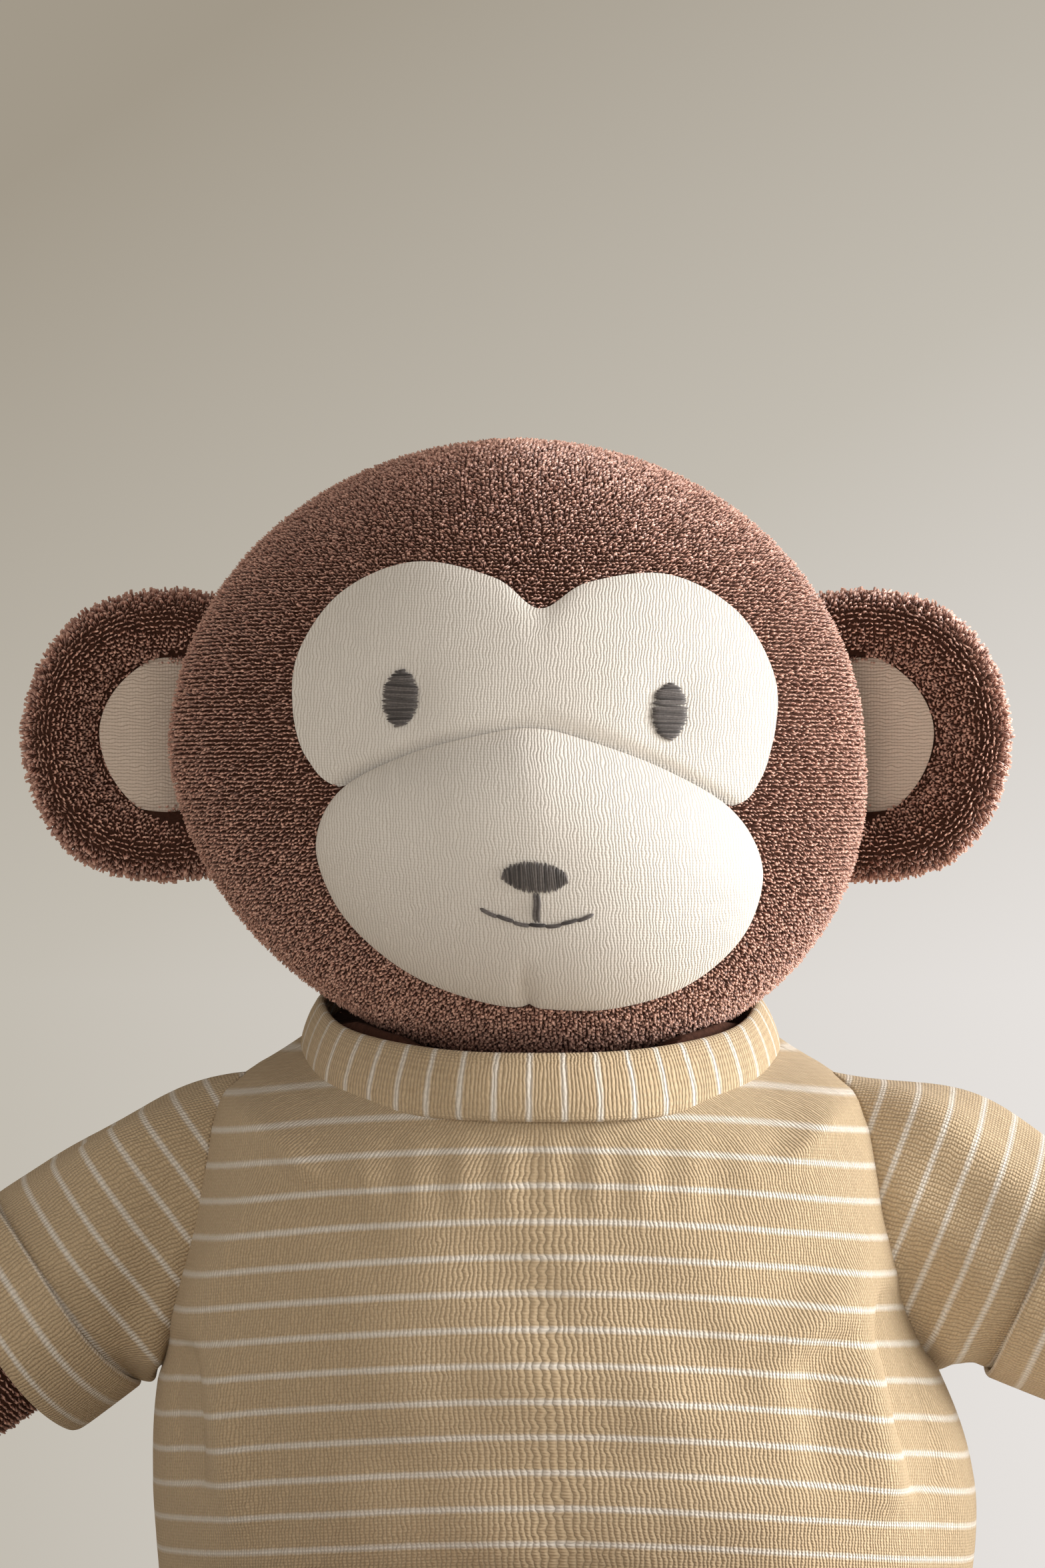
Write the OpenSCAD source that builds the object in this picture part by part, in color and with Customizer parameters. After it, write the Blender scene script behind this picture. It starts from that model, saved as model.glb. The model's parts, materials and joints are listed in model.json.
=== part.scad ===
// Stuffed monkey in a striped T-shirt, sitting with its legs forward.
// Millimetres, +Z up. The face looks along -Y and the toy's left side is at +X.
// The origin is on the flat seat panel, straight under the neck.

/* [Head] */
// Width of the stuffed head without its ears
head_width = 141; // [130:1:150]
// Height of the stuffed head
head_height = 127; // [118:1:134]
// Depth of the stuffed head, face to back
head_depth = 118; // [110:1:126]
// Height of the middle of the head above the seat
head_z = 226; // [224:1:236]
// How far the head sits to the toy's right of the body's middle
head_aside = 4.7; // [0:0.1:6]
// How far the head sits forward of the neck
head_forward = 8; // [4:1:10]
// How far the jaw leans back to the middle, per millimetre below the head's middle
jaw_lean = 0.115; // [0:0.005:0.13]
// Turn of the sewn face in its own plane, in degrees
face_roll = 2.8; // [0:0.1:4]
// How far the face is turned round towards the toy's left
face_aside = 3.2; // [0:0.1:4]
// How much raised points of the face go straight ahead, and not out from the head
face_ahead = 0.7; // [0:0.05:1]

/* [Ears] */
// How far each ear stands out from the side of the head
ear_reach = 28; // [22:1:32]
// Height of an ear
ear_height = 56; // [48:1:60]
// Thickness of a stuffed ear
ear_thick = 10; // [8:1:12]

/* [Body] */
// Half width of the stuffed body at the belly
belly_half = 78.5; // [74:0.5:82]
// Tilt of the neckline, front down, in degrees
neck_tilt = 14; // [8:1:16]

/* [Limbs] */
// Length of an arm from its shoulder to the tip of the hand
arm_length = 118; // [100:1:130]
// Radius of an upper arm
arm_r = 17; // [15:0.5:17.5]
// Angle of the toy's right arm below level
right_arm_drop = 37; // [22:1:40]
// Angle of the toy's left arm below level
left_arm_drop = 22; // [20:1:40]
// Radius of a thigh
thigh_r = 25; // [22:0.5:25.5]
// Angle by which each leg points outwards
leg_splay = 7; // [0:1:10]
// Radius of the tail
tail_r = 9; // [7:0.5:9.5]

/* [Cloth] */
// Thickness of the brown looped terry
terry = 1.2; // [0.8:0.1:1.4]
// Thickness of the cream jersey
jersey = 0.8; // [0.6:0.1:1]
// Thickness of the shirt's jersey
shirt_cloth = 0.9; // [0.7:0.1:1]

/* [Hidden] */
$fn = 32;

brown = "#8a5f50";
cream = "#e4dccd";
tan = "#b5946a";
charcoal = "#4a4645";
fibre = "#f4f2ec";

gap = 0.5;                 // space between a cloth skin and what is inside it
joint_gap = 0.8;           // space between bodies that move against each other
head_x = -head_aside;
head_y = -head_forward;
head_a = head_width / 2;
head_b = head_depth / 2;
head_c = head_height / 2;
shoulder_x = 79;
shoulder_z = 131;
hip = [40, -45, 25.5];
tail_root = [0, 62.5, tail_r + 0.5];
collar_z = 160;            // middle of the collar's lower edge
collar_h = 11.5;
shirt_in = 1.7;            // the shirt's inner face stands this far off the body
shirt_out = shirt_in + shirt_cloth;
round_cols = 32;           // points round a torso ring

// ---- shared geometry ----

// A power that keeps the sign
function spow(x, e) = sign(x) * pow(abs(x), e);
// 0 below a, 1 above b, smooth between
function ease(x, a, b) = let (k = max(0, min(1, (x - a) / (b - a)))) k * k * (3 - 2 * k);
// Smooth curve through four neighbours, k from 0 to 1 between p1 and p2
function curve4(p0, p1, p2, p3, k) =
    0.5 * (2 * p1 + (p2 - p0) * k + (2 * p0 - 5 * p1 + 4 * p2 - p3) * k * k
    + (3 * p1 - p0 - 3 * p2 + p3) * k * k * k);
// A closed smooth outline through points
function outline(pts, each_side) = let (n = len(pts))
    [for (i = [0:n - 1], j = [0:each_side - 1])
        curve4(pts[(i + n - 1) % n], pts[i], pts[(i + 1) % n], pts[(i + 2) % n], j / each_side)];
// A half outline from top to bottom, completed by its mirror image
function mirrored(half) = concat(half, [for (i = [len(half) - 2:-1:1]) [-half[i][0], half[i][1]]]);
function flat(rings) = [for (r = rings, p = r) p];
function backwards(rings) = [for (i = [len(rings) - 1:-1:0]) rings[i]];
// Triangles between rings of n points, m rings
function band(m, n) = [for (r = [0:m - 2], c = [0:n - 1], half = [0, 1])
    let (a = r * n + c, b = r * n + (c + 1) % n)
    half == 0 ? [a, b + n, b] : [a, a + n, b + n]];

// A polyhedron whose faces are turned outwards by the sign of its volume
module solid(points, faces) {
    parts = [for (f = faces) points[f[0]] * cross(points[f[1]], points[f[2]])];
    volume = parts * [for (p = parts) 1];
    polyhedron(points, volume > 0 ? [for (f = faces) [f[2], f[1], f[0]]] : faces);
}

// Rings closed by a point at each end
module capped(tip0, rings, tip1) {
    n = len(rings[0]);
    m = len(rings);
    last = m * n;
    solid(
        concat(flat(rings), [tip0, tip1]),
        concat(
            band(m, n),
            [for (c = [0:n - 1]) [last, c, (c + 1) % n]],
            [for (c = [0:n - 1]) [last + 1, last - n + (c + 1) % n, last - n + c]]
        )
    );
}

// Rings that close on themselves, like a tyre: a sleeve with a wall
module tube_wall(outer, inner) {
    rings = concat(outer, backwards(inner));
    solid(flat(rings), [for (f = band(len(rings) + 1, len(rings[0])))
        [for (i = f) i % (len(rings) * len(rings[0]))]]);
}

// A cloth panel: rows of outer points and rows of inner points, edges closed
module panel(outer, inner) {
    rings = [for (r = [0:len(outer) - 1]) concat(outer[r], [for (i = [len(inner[r]) - 1:-1:0]) inner[r][i]])];
    n = len(rings[0]);
    k = len(outer[0]);
    last = (len(rings) - 1) * n;
    ends = [for (c = [0:k - 2], half = [0, 1])
        half == 0 ? [c, c + 1, n - 2 - c] : [c, n - 2 - c, n - 1 - c]];
    solid(flat(rings), concat(
        band(len(rings), n),
        ends,
        [for (f = ends) [f[2] + last, f[1] + last, f[0] + last]]
    ));
}

// ---- torso ----

// Height, half width, front depth and back depth of the stuffed body
torso_rows = [
    [0, 56, 13, 42],
    [4, 66, 16, 49],
    [14, 73, 17, 52],
    [30, 76.5, 18, 54],
    [50, belly_half, 19, 54],
    [56, belly_half, 26, 54],
    [59, belly_half, 42, 53.5],
    [66, belly_half, 51, 53],
    [80, 77.5, 54, 51.5],
    [101, 74, 53, 48.5],
    [122, 69.5, 49, 45],
    [140, 65.5, 45.5, 42.5],
    [151, 61.5, 43, 41],
    [157, 56, 42, 40.5],
    [160, 49, 40, 39.5]
];
corner = 0.84;             // below 1, the body's section is squarer than an ellipse
neck_slope = tan(neck_tilt);

// A point on the body's surface, grown outwards by off; upper rings lean with the neckline
function torso_point(row, t, off) = let (
    x = (row[1] + off) * spow(cos(t), corner),
    y = (sin(t) < 0 ? row[2] + off : row[3] + off) * spow(sin(t), corner)
) [x, y, row[0] + neck_slope * y * ease(row[0], 110, 158)];
function torso_ring(row, off) = [for (i = [0:round_cols - 1]) torso_point(row, i * 360 / round_cols, off)];

// The space that an arm needs to swing in
module arm_room(side) {
    translate([side * shoulder_x, 0, shoulder_z])
        for (drop = [-40:18:50])
            rotate([0, side * (90 + drop), 0])
                cylinder(h = 60, r = arm_r + joint_gap);
    translate([side * shoulder_x, 0, shoulder_z]) sphere(r = arm_r + joint_gap + 0.2);
}

module both_arm_rooms() {
    arm_room(1);
    arm_room(-1);
}

module torso_skin() color(brown)
    resize([0, 0, 0]) difference() {
        tube_wall(
            [for (row = torso_rows) torso_ring(row, 0)],
            [for (row = torso_rows) torso_ring(row, -terry)]
        );
        both_arm_rooms();
    }

module torso_filling() color(fibre) {
    inset = -terry - gap;
    floor_z = 2;
    rows = [for (i = [1:len(torso_rows) - 1]) torso_rows[i]];
    resize([0, 0, 0]) difference() {
        capped(
            [0, 14, floor_z],
            concat(
                [[for (p = torso_ring(torso_rows[0], inset)) [p[0], p[1], floor_z]]],
                [for (row = rows) torso_ring(row, inset)]
            ),
            [0, 0, torso_rows[len(torso_rows) - 1][0]]
        );
        both_arm_rooms();
        neck_room();
    }
}

// The flat oval of terry that the toy sits on
module seat_panel() color(brown)
    linear_extrude(terry)
        polygon([for (p = torso_ring(torso_rows[0], -terry - gap)) [p[0], p[1]]]);

// ---- shirt ----

hem_front = 58;
hem_back = 24;
function hem_z(t) = (hem_front + hem_back) / 2 - (hem_front - hem_back) / 2 * sin(t);
// Rows of the shirt, from hem to neckline: below the belly it hangs straight
shirt_full = [belly_half, 51, 54];
shirt_heights = [0, 0.5, 1];
shirt_upper = [for (i = [7:len(torso_rows) - 1]) torso_rows[i]];
function shirt_point(k, t, off) = k < len(shirt_heights)
    ? let (p = torso_point(concat([0], shirt_full), t, off),
        z = hem_z(t) + (62 - hem_z(t)) * shirt_heights[k])
        [p[0], p[1], z]
    : torso_point(shirt_upper[k - len(shirt_heights)], t, off);
shirt_rows = len(shirt_heights) + len(shirt_upper);
function shirt_column(t, off) = [for (k = [0:shirt_rows - 1]) shirt_point(k, t, off)];

// The opening that a sleeve is sewn into
module armhole(side) {
    translate([side * 100, 0, shoulder_z])
        rotate([0, 90, 0])
            scale([1, 0.84, 1])
                cylinder(h = 90, r = armhole_r, center = true);
}
armhole_r = 30;

module shirt_panel(from, to, steps, cut = true) color(tan)
    resize([0, 0, 0]) difference() {
        panel(
            [for (i = [0:steps]) shirt_column(from + (to - from) * i / steps, shirt_out)],
            [for (i = [0:steps]) shirt_column(from + (to - from) * i / steps, shirt_in)]
        );
        if (cut) {
            armhole(1);
            armhole(-1);
        }
    }

seam = 0.4;                // half the angle left open at a seam
module shirt_front() shirt_panel(180 + seam, 360 - seam, 20);
module shirt_back_left() shirt_panel(seam, 88, 10);
module shirt_back_right() shirt_panel(92, 180 - seam, 10);

// A strip up the back opening, between two stand-off distances
module back_strip(from, to, low, high) {
    rows = [for (k = [5:shirt_rows - 3]) k];
    panel(
        [for (i = [0:3]) [for (k = rows) shirt_point(k, from + (to - from) * i / 3, high)]],
        [for (i = [0:3]) [for (k = rows) shirt_point(k, from + (to - from) * i / 3, low)]]
    );
}
module loop_tape() color(tan) back_strip(93, 98, shirt_out + 0.3, shirt_out + 1);
module hook_tape() color(tan) back_strip(93, 98, shirt_out + 1.3, shirt_out + 2);
module back_placket() color(tan) back_strip(83, 99, shirt_out + 2.3, shirt_out + 3.2);

// The ribbed collar, a band that leans with the neckline
collar_dip = 0.009;         // how much lower each millimetre back makes it
collar_rows = [[0, 49], [0.35, 48.8], [0.7, 47.4], [1, 45.8]];
function collar_ring(row, off) = [for (i = [0:35]) let (
    t = i * 10,
    x = (row[1] + off) * cos(t),
    y = (row[1] + off - 1) * sin(t)
) [x, y, collar_z + 3 + row[0] * collar_h * (1 - collar_dip * max(0, y)) + neck_slope * y]];
module collar_band() color(tan)
    tube_wall(
        [for (row = collar_rows) collar_ring(row, 0)],
        [for (row = collar_rows) collar_ring(row, -1.8)]
    );

// ---- neck ----

neck_r = 24;
neck_pivot = [0, -4, 185];
neck_top = 164;
neck_low = 149;
// The hollow in the torso's filling that the neck rocks in
module neck_room() {
    translate([0, -4, neck_low - 4]) cylinder(h = 60, r1 = neck_r + 8, r2 = neck_r + 12);
}
module neck_ring_solid(inset) {
    translate([0, head_y + 4, neck_low + inset])
        cylinder(h = neck_top - neck_low - 2 * inset - 2, r = neck_r - inset);
}
module neck_tube() color(brown) difference() {
    neck_ring_solid(0);
    translate([0, head_y + 4, neck_low - 1]) cylinder(h = 30, r = neck_r - terry);
}
module neck_filling() color(fibre)
    translate([0, head_y + 4, neck_low]) cylinder(h = 11, r = neck_r - terry - gap);

// ---- head ----

function lean(z) = jaw_lean * max(0, -z);
// A point on the head at longitude t and latitude v, grown outwards by off
function head_point(t, v, off) = let (z = (head_c + off) * sin(v))
    [head_x + lean(z) + (head_a + off) * cos(v) * cos(t), head_y + (head_b + off) * cos(v) * sin(t), head_z + z];
neck_lat = -72;
function head_arc(t, off) = [for (v = [neck_lat:11.5:89]) head_point(t, v, off)];
module head_panel(from, to) color(brown)
    panel(
        [for (i = [0:14]) head_arc(from + (to - from) * i / 14, 0)],
        [for (i = [0:14]) head_arc(from + (to - from) * i / 14, -terry)]
    );
module head_front() head_panel(180.3, 359.7);
module head_back() head_panel(0.3, 179.7);
module head_filling() color(fibre)
    capped(
        head_point(0, -90, -terry - gap),
        [for (v = [-80:10:80]) [for (t = [0:15:345]) head_point(t, v, -terry - gap)]],
        head_point(0, 90, -terry - gap)
    );

// A point of the face plane (x across, z up, from the head's middle), laid on the head and raised by off
function on_face(x, z, off) = let (
    px = x * cos(face_roll) + z * sin(face_roll) + face_aside,
    pz = z * cos(face_roll) - x * sin(face_roll),
    level = sqrt(max(0.02, 1 - pow(px / head_a, 2) - pow(pz / head_c, 2))),
    n = [px / pow(head_a, 2), -level / head_b, pz / pow(head_c, 2)],
    out = n / norm(n) * (1 - face_ahead) + [0, -face_ahead, 0]
) [head_x + px + lean(pz), head_y - head_b * level, head_z + pz] + off * out / norm(out);

// A patch on the face: rings from its middle to its outline, with a raised front and a back
module face_patch(edge, middle, front, back, rings) {
    n = len(edge);
    function at(c, r) = middle + (edge[c] - middle) * r;
    capped(
        on_face(middle[0], middle[1], front(0)),
        concat(
            [for (k = [1:rings]) [for (c = [0:n - 1]) let (q = at(c, k / rings)) on_face(q[0], q[1], front(k / rings))]],
            [for (k = [rings:-1:1]) [for (c = [0:n - 1]) let (q = at(c, k / rings)) on_face(q[0], q[1], back(k / rings))]]
        ),
        on_face(middle[0], middle[1], back(0))
    );
}

// The cream mask round the eyes, a goggle shape with a notch at the brow
mask_half = [
    [0, 27.6], [9, 33.2], [24.6, 35.8], [38.5, 29.5], [46.4, 17.5],
    [47, 6], [43.8, -3.5], [37.5, -9], [20, -10.5], [0, -10.5]
];
mask_edge = outline(mirrored(mask_half), 2);
module face_mask() color(cream)
    face_patch(mask_edge, [0, 10], function (r) 0.3 + jersey, function (r) 0.3, 5);

// The padded muzzle: fullest below the middle, pinched flat at its seam
muzzle_half = [
    [0, 4.4], [7.8, 3.2], [23.5, -1.6], [37.5, -9.2], [43.2, -19.5],
    [41.2, -30], [35.2, -38.4], [25.2, -45.6], [12, -49.8], [0, -50.4]
];
muzzle_edge = outline(mirrored(muzzle_half), 2);
muzzle_middle = [0, -22];
muzzle_rise = 14;
muzzle_off = 0.3 + jersey + 0.4;
muzzle_dome = function (r) muzzle_off + muzzle_rise * pow(1 - pow(r, 2.4), 0.75);
module muzzle_skin() color(cream)
    face_patch(muzzle_edge, muzzle_middle,
        function (r) muzzle_dome(r) + (r == 1 ? 0.5 : jersey),
        function (r) muzzle_dome(r), 6);
module muzzle_padding() color(fibre)
    face_patch([for (p = muzzle_edge) muzzle_middle + (p - muzzle_middle) * 0.93], muzzle_middle,
        function (r) max(muzzle_off + 0.4, muzzle_dome(r * 0.93) - 3 * gap),
        function (r) muzzle_off, 5);

// Satin-stitched ovals
function oval_edge(middle, a, b, n) = [for (i = [0:n - 1]) middle + [a * cos(i * 360 / n), b * sin(i * 360 / n)]];
eye_at = [25.9, 8.9];
module eye(side) color(charcoal)
    face_patch(oval_edge([side * eye_at[0], eye_at[1]], 3.3, 5.3, 16), [side * eye_at[0], eye_at[1]],
        function (r) 0.3 + jersey + 0.4 + 0.7 * sqrt(1 - 0.8 * r * r), function (r) 0.3 + jersey + 0.3, 3);
module left_eye() eye(1);
module right_eye() eye(-1);

// How far the muzzle stands out at a point of the face plane
function muzzle_at(x, z) = let (
    d = [x, z] - muzzle_middle,
    reach = d[1] > 0 ? [43.2, 26.4] : [43.2, 28.4],
    r = min(0.97, norm([d[0] / reach[0], d[1] / reach[1]]))
) muzzle_dome(r) + jersey;
nose_at = [0, -23.5];
module on_muzzle(edge, middle, low, high) {
    n = len(edge);
    function lay(q, up) = on_face(q[0], q[1], muzzle_at(q[0], q[1]) + up);
    capped(
        lay(middle, high),
        [[for (p = edge) lay((p + middle) / 2, high)], [for (p = edge) lay(p, high - 0.2)],
            [for (p = edge) lay(p, low)], [for (p = edge) lay((p + middle) / 2, low)]],
        lay(middle, low)
    );
}
module nose() color(charcoal)
    on_muzzle(oval_edge(nose_at, 5.9, 2.8, 16), nose_at, 0.7, 1.7);
module philtrum_stitch() color(charcoal)
    on_muzzle([[-0.5, -26.9], [0.5, -26.9], [0.5, -31.2], [-0.5, -31.2]], [0, -29], 0.7, 1.4);
module mouth_stitches() color(charcoal)
    for (i = [-3:3]) {
        x = i * 2.9;
        z = -32.4 + 0.024 * x * x;
        on_muzzle([[x - 1.1, z - 0.45], [x + 1.1, z - 0.45], [x + 1.1, z + 0.45], [x - 1.1, z + 0.45]],
            [x, z], 0.7, 1.4);
    }

// ---- ears ----

ear_drop = 4;              // the ears' middle above the head's middle
ear_y = 2;
ear_root = head_a + 1.4;
// Outline of the right-hand ear from its root line outwards, in x and z from the root's middle
ear_half_z = ear_height / 2;
function ear_root_x(z) = -head_a * (1 - sqrt(1 - pow(min(0.9, abs(z + ear_drop) / head_c), 2)));
ear_half = [
    for (a = [90:-15:-90]) [
        ear_reach * (a == 90 || a == -90 ? 0.25 : 0.25 + 0.75 * pow(cos(a), 0.62)),
        ear_half_z * spow(sin(a), 0.8)
    ]
];
ear_inner = [for (k = [-0.75:0.25:0.75]) [ear_root_x(ear_half_z * k) + 1.2, ear_half_z * k]];
ear_edge = concat(ear_half, ear_inner);
ear_middle = [ear_reach * 0.5, 0];

// A point of an ear: r from its middle to its edge, up is the height off the middle plane; it cups forward
function ear_point(c, r, up) = let (q = ear_middle + (ear_edge[c] - ear_middle) * r)
    [q[0], up - 0.0075 * pow(max(0, q[0]), 2), q[1]];
function ear_ring(r, up) = [for (c = [0:len(ear_edge) - 1]) ear_point(c, r, up)];
// Half thickness, thin at the edge seam
function ear_half_t(r) = 0.7 + (ear_thick / 2 - 0.7) * pow(1 - pow(r, 4), 0.6);
module place_ear(side) {
    translate([head_x, ear_y, head_z + ear_drop])
        mirror([side < 0 ? 1 : 0, 0, 0])
            translate([ear_root, 0, 0])
                children();
}
ear_rs = [0.15, 0.3, 0.45, 0.6, 0.75, 0.88, 0.96, 1];
lining_r = 0.58;
module ear_back(side) color(brown) place_ear(side)
    capped(
        ear_point(0, 0, ear_half_t(0)),
        concat([for (r = ear_rs) ear_ring(r, ear_half_t(r))],
            [for (r = backwards(ear_rs)) ear_ring(r * 0.995, r > 0.99 ? 0.2 : ear_half_t(r) - 0.9)]),
        ear_point(0, 0, ear_half_t(0) - 0.9)
    );
module ear_front(side) color(brown) place_ear(side) {
    rs = [0.62, 0.75, 0.88, 0.96, 1];
    tube_wall(
        [for (r = rs) ear_ring(r, -ear_half_t(r))],
        [for (r = rs) ear_ring(r * 0.995, r > 0.99 ? -0.2 : 0.9 - ear_half_t(r))]
    );
}
module ear_lining(side) color(cream) place_ear(side) {
    rs = [0.2, 0.4, lining_r];
    capped(
        ear_point(0, 0, 0.4 - ear_half_t(0)),
        concat([for (r = rs) ear_ring(r, 0.4 - ear_half_t(r))],
            [for (r = backwards(rs)) ear_ring(r, 0.4 + jersey - ear_half_t(r))]),
        ear_point(0, 0, 0.4 + jersey - ear_half_t(0))
    );
}
module ear_wadding(side) color(fibre) place_ear(side) {
    rs = [0.3, 0.6, 0.86];
    capped(
        ear_point(0, 0, 1.6 - ear_half_t(0)),
        concat([for (r = rs) ear_ring(r, 1.6 - ear_half_t(r))],
            [for (r = backwards(rs)) ear_ring(r, ear_half_t(r) - 1.3)]),
        ear_point(0, 0, ear_half_t(0) - 1.3)
    );
}
module left_ear_back() ear_back(1);
module left_ear_front() ear_front(1);
module left_ear_lining() ear_lining(1);
module left_ear_wadding() ear_wadding(1);
module right_ear_back() ear_back(-1);
module right_ear_front() ear_front(-1);
module right_ear_lining() ear_lining(-1);
module right_ear_wadding() ear_wadding(-1);

// ---- arms ----

// Distance along the arm and radius, as shares of the arm's length and radius
arm_rows = [
    [-arm_r * 0.85, 0.53], [-arm_r * 0.6, 0.8], [-arm_r * 0.3, 0.95], [0, 1], [20, 1], [45, 0.96],
    [arm_length * 0.6, 0.87], [arm_length * 0.72, 0.93], [arm_length * 0.85, 1.02],
    [arm_length * 0.94, 0.86], [arm_length * 0.985, 0.5]
];
function disc(s, ry, rz, n, dz = 0) = [for (i = [0:n - 1]) [s, ry * cos(i * 360 / n), dz + rz * sin(i * 360 / n)]];
function arm_ring(row, off) = disc(row[0], arm_r * row[1] * 0.97 + off, arm_r * row[1] + off, 20);
// Puts a piece that points along +X at a shoulder, dropped by its angle
module place_arm(side) {
    drop = side > 0 ? left_arm_drop : right_arm_drop;
    translate([side * shoulder_x, 0, shoulder_z])
        mirror([side < 0 ? 1 : 0, 0, 0])
            rotate([0, drop, 0])
                children();
}
module arm_skin(side) color(brown) place_arm(side)
    capped(
        [arm_length, 0, 0],
        concat([for (row = backwards(arm_rows)) arm_ring(row, 0)], [for (row = arm_rows) arm_ring(row, -terry)]),
        [arm_length - terry, 0, 0]
    );
module arm_filling(side) color(fibre) place_arm(side)
    capped(
        [arm_rows[0][0] - 0.2, 0, 0],
        [for (row = arm_rows) arm_ring(row, -terry - gap)],
        [arm_length - terry - gap, 0, 0]
    );

cuff_from = 22.5;
cuff_wide = 17;
cuff_r = 23.4;
sleeve_steps = 3;
sleeve_cols = 24;
sleeve_puff = 3;           // how far the top of the sleeve stands out halfway along
// The armhole seam, on the side of the shirt, as seen by an arm at +X
function armhole_ring(off) = [for (i = [0:sleeve_cols - 1]) let (
    y = (armhole_r * 0.84 - 0.6 + off) * cos(i * 360 / sleeve_cols),
    z = (armhole_r - 0.6 + off) * sin(i * 360 / sleeve_cols)
) [side_x(z) - shoulder_x, y, z]];
// Half width of the shirt's side at a height from the shoulder
function side_x(z) = shirt_out + 2.6 + lookup(z + shoulder_z, [for (row = torso_rows) [row[0], row[1]]]);
function turn_drop(p, drop) = [p[0] * cos(drop) - p[2] * sin(drop), p[1], p[0] * sin(drop) + p[2] * cos(drop)];
module sleeve(side) {
    drop = side > 0 ? left_arm_drop : right_arm_drop;
    function ring(k, off) = let (
        root = armhole_ring(off),
        end = disc(cuff_from - 0.8, cuff_r + off, cuff_r + off, sleeve_cols),
        w = k / sleeve_steps,
        puff = function (i) sleeve_puff * sin(180 * w) * max(0, sin(i * 360 / sleeve_cols))
    ) [for (i = [0:sleeve_cols - 1]) let (p = turn_drop(root[i], drop) * (1 - w) + end[i] * w)
        p + puff(i) * [0, p[1], p[2]] / norm([p[1], p[2]])];
    function straight(off) = disc(cuff_from + cuff_wide - 1, cuff_r + off, cuff_r + off, sleeve_cols);
    color(tan) place_arm(side)
        tube_wall(
            [for (k = [0:sleeve_steps + 1]) k > sleeve_steps ? straight(0) : ring(k, 0)],
            [for (k = [0:sleeve_steps + 1]) k > sleeve_steps ? straight(-shirt_cloth) : ring(k, -shirt_cloth)]
        );
}

module cuff(side) color(tan) place_arm(side) {
    rows = [[cuff_from, 25.8], [cuff_from + 4, 26.1], [cuff_from + 13, 25.9], [cuff_from + cuff_wide, 25.5]];
    tube_wall(
        [for (row = rows) disc(row[0], row[1], row[1], sleeve_cols)],
        [for (row = rows) disc(row[0], row[1] - 1.2, row[1] - 1.2, sleeve_cols)]
    );
}
module left_arm_skin() arm_skin(1);
module left_arm_filling() arm_filling(1);
module left_sleeve() sleeve(1);
module left_cuff() cuff(1);
module right_arm_skin() arm_skin(-1);
module right_arm_filling() arm_filling(-1);
module right_sleeve() sleeve(-1);
module right_cuff() cuff(-1);

// ---- legs ----

// Distance along the leg, half width, depth below and height above its axis
leg_rows = [
    [-20, 15, 15, 15], [-14, 20.5, 20.5, 20.5], [-7, 24, 24, 24], [0, 25, 25, 25], [25, 24.3, 25, 24],
    [55, 22, 24.8, 20], [82, 20.5, 24.3, 17.5], [97, 21.5, 24.5, 24], [109, 24, 24.8, 35],
    [120, 25.2, 25, 41.5], [130, 25, 24.8, 42.5], [137, 23, 23.4, 40.5]
];
thigh_scale = thigh_r / 25;
function leg_ring(row, off) = let (
    half = (row[2] + row[3]) / 2 * thigh_scale + off,
    middle = (row[3] - row[2]) / 2 * thigh_scale
) disc(row[0], row[1] * thigh_scale + off, half, 24, middle);
module place_leg(side) {
    translate([side * hip[0], hip[1], hip[2]])
        rotate([0, 0, -90 + side * leg_splay])
            children();
}
module leg_skin(side) color(brown) place_leg(side)
    tube_wall(
        [for (row = leg_rows) leg_ring(row, 0)],
        [for (row = leg_rows) leg_ring(row, -terry)]
    );
module leg_filling(side) color(fibre) place_leg(side)
    capped(
        [leg_rows[0][0] - 0.3, 0, 0],
        [for (row = leg_rows) leg_ring(row, -terry - gap)],
        [leg_rows[len(leg_rows) - 1][0] + 0.3, 0, 8]
    );
// The oval of cream jersey under the foot
module foot_sole(side) {
    end = leg_rows[len(leg_rows) - 1];
    s = end[0] + 0.6;
    function ring(ds, off) = [for (p = leg_ring(end, off)) [s + ds, p[1], p[2]]];
    color(cream) place_leg(side) capped([s + 4, 0, 8.5], [ring(3.2, -8), ring(1.6, -3), ring(0, -0.5), ring(0.6, -3.5)], [s + 2.6, 0, 8.5]);
}
module left_leg_skin() leg_skin(1);
module left_leg_filling() leg_filling(1);
module left_foot_sole() foot_sole(1);
module right_leg_skin() leg_skin(-1);
module right_leg_filling() leg_filling(-1);
module right_foot_sole() foot_sole(-1);

// ---- tail ----

tail_straight = 14;
tail_bend_r = 60;
tail_arc = 160;            // degrees that the tail curls through
tail_steps = 12;
// Middle line of the tail: straight back, then a wide curl to the toy's left; s from 0 to 1
function tail_line(s) = let (whole = tail_straight + tail_bend_r * tail_arc * PI / 180, d = s * whole)
    d < tail_straight ? tail_root + [0, d, 0]
    : let (a = (d - tail_straight) / tail_bend_r * 180 / PI)
        tail_root + [tail_bend_r * (1 - cos(a)), tail_straight + tail_bend_r * sin(a), 0];
function tail_heading(s) = let (d = tail_line(min(1, s + 0.002)) - tail_line(max(0, s - 0.002)))
    atan2(d[1], d[0]);
function tail_ring(s, r) = let (p = tail_line(s), h = tail_heading(s) - 90)
    [for (a = [0:30:330]) p + r * [cos(a) * cos(h), cos(a) * sin(h), sin(a)]];
tail_stations = concat([for (k = [0:tail_steps]) [k / tail_steps * 0.95, 1]], [[0.975, 0.86], [0.995, 0.45]]);
tail_root_rings = [for (a = [-60, -30]) [tail_r * sin(a), cos(a)]];
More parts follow.
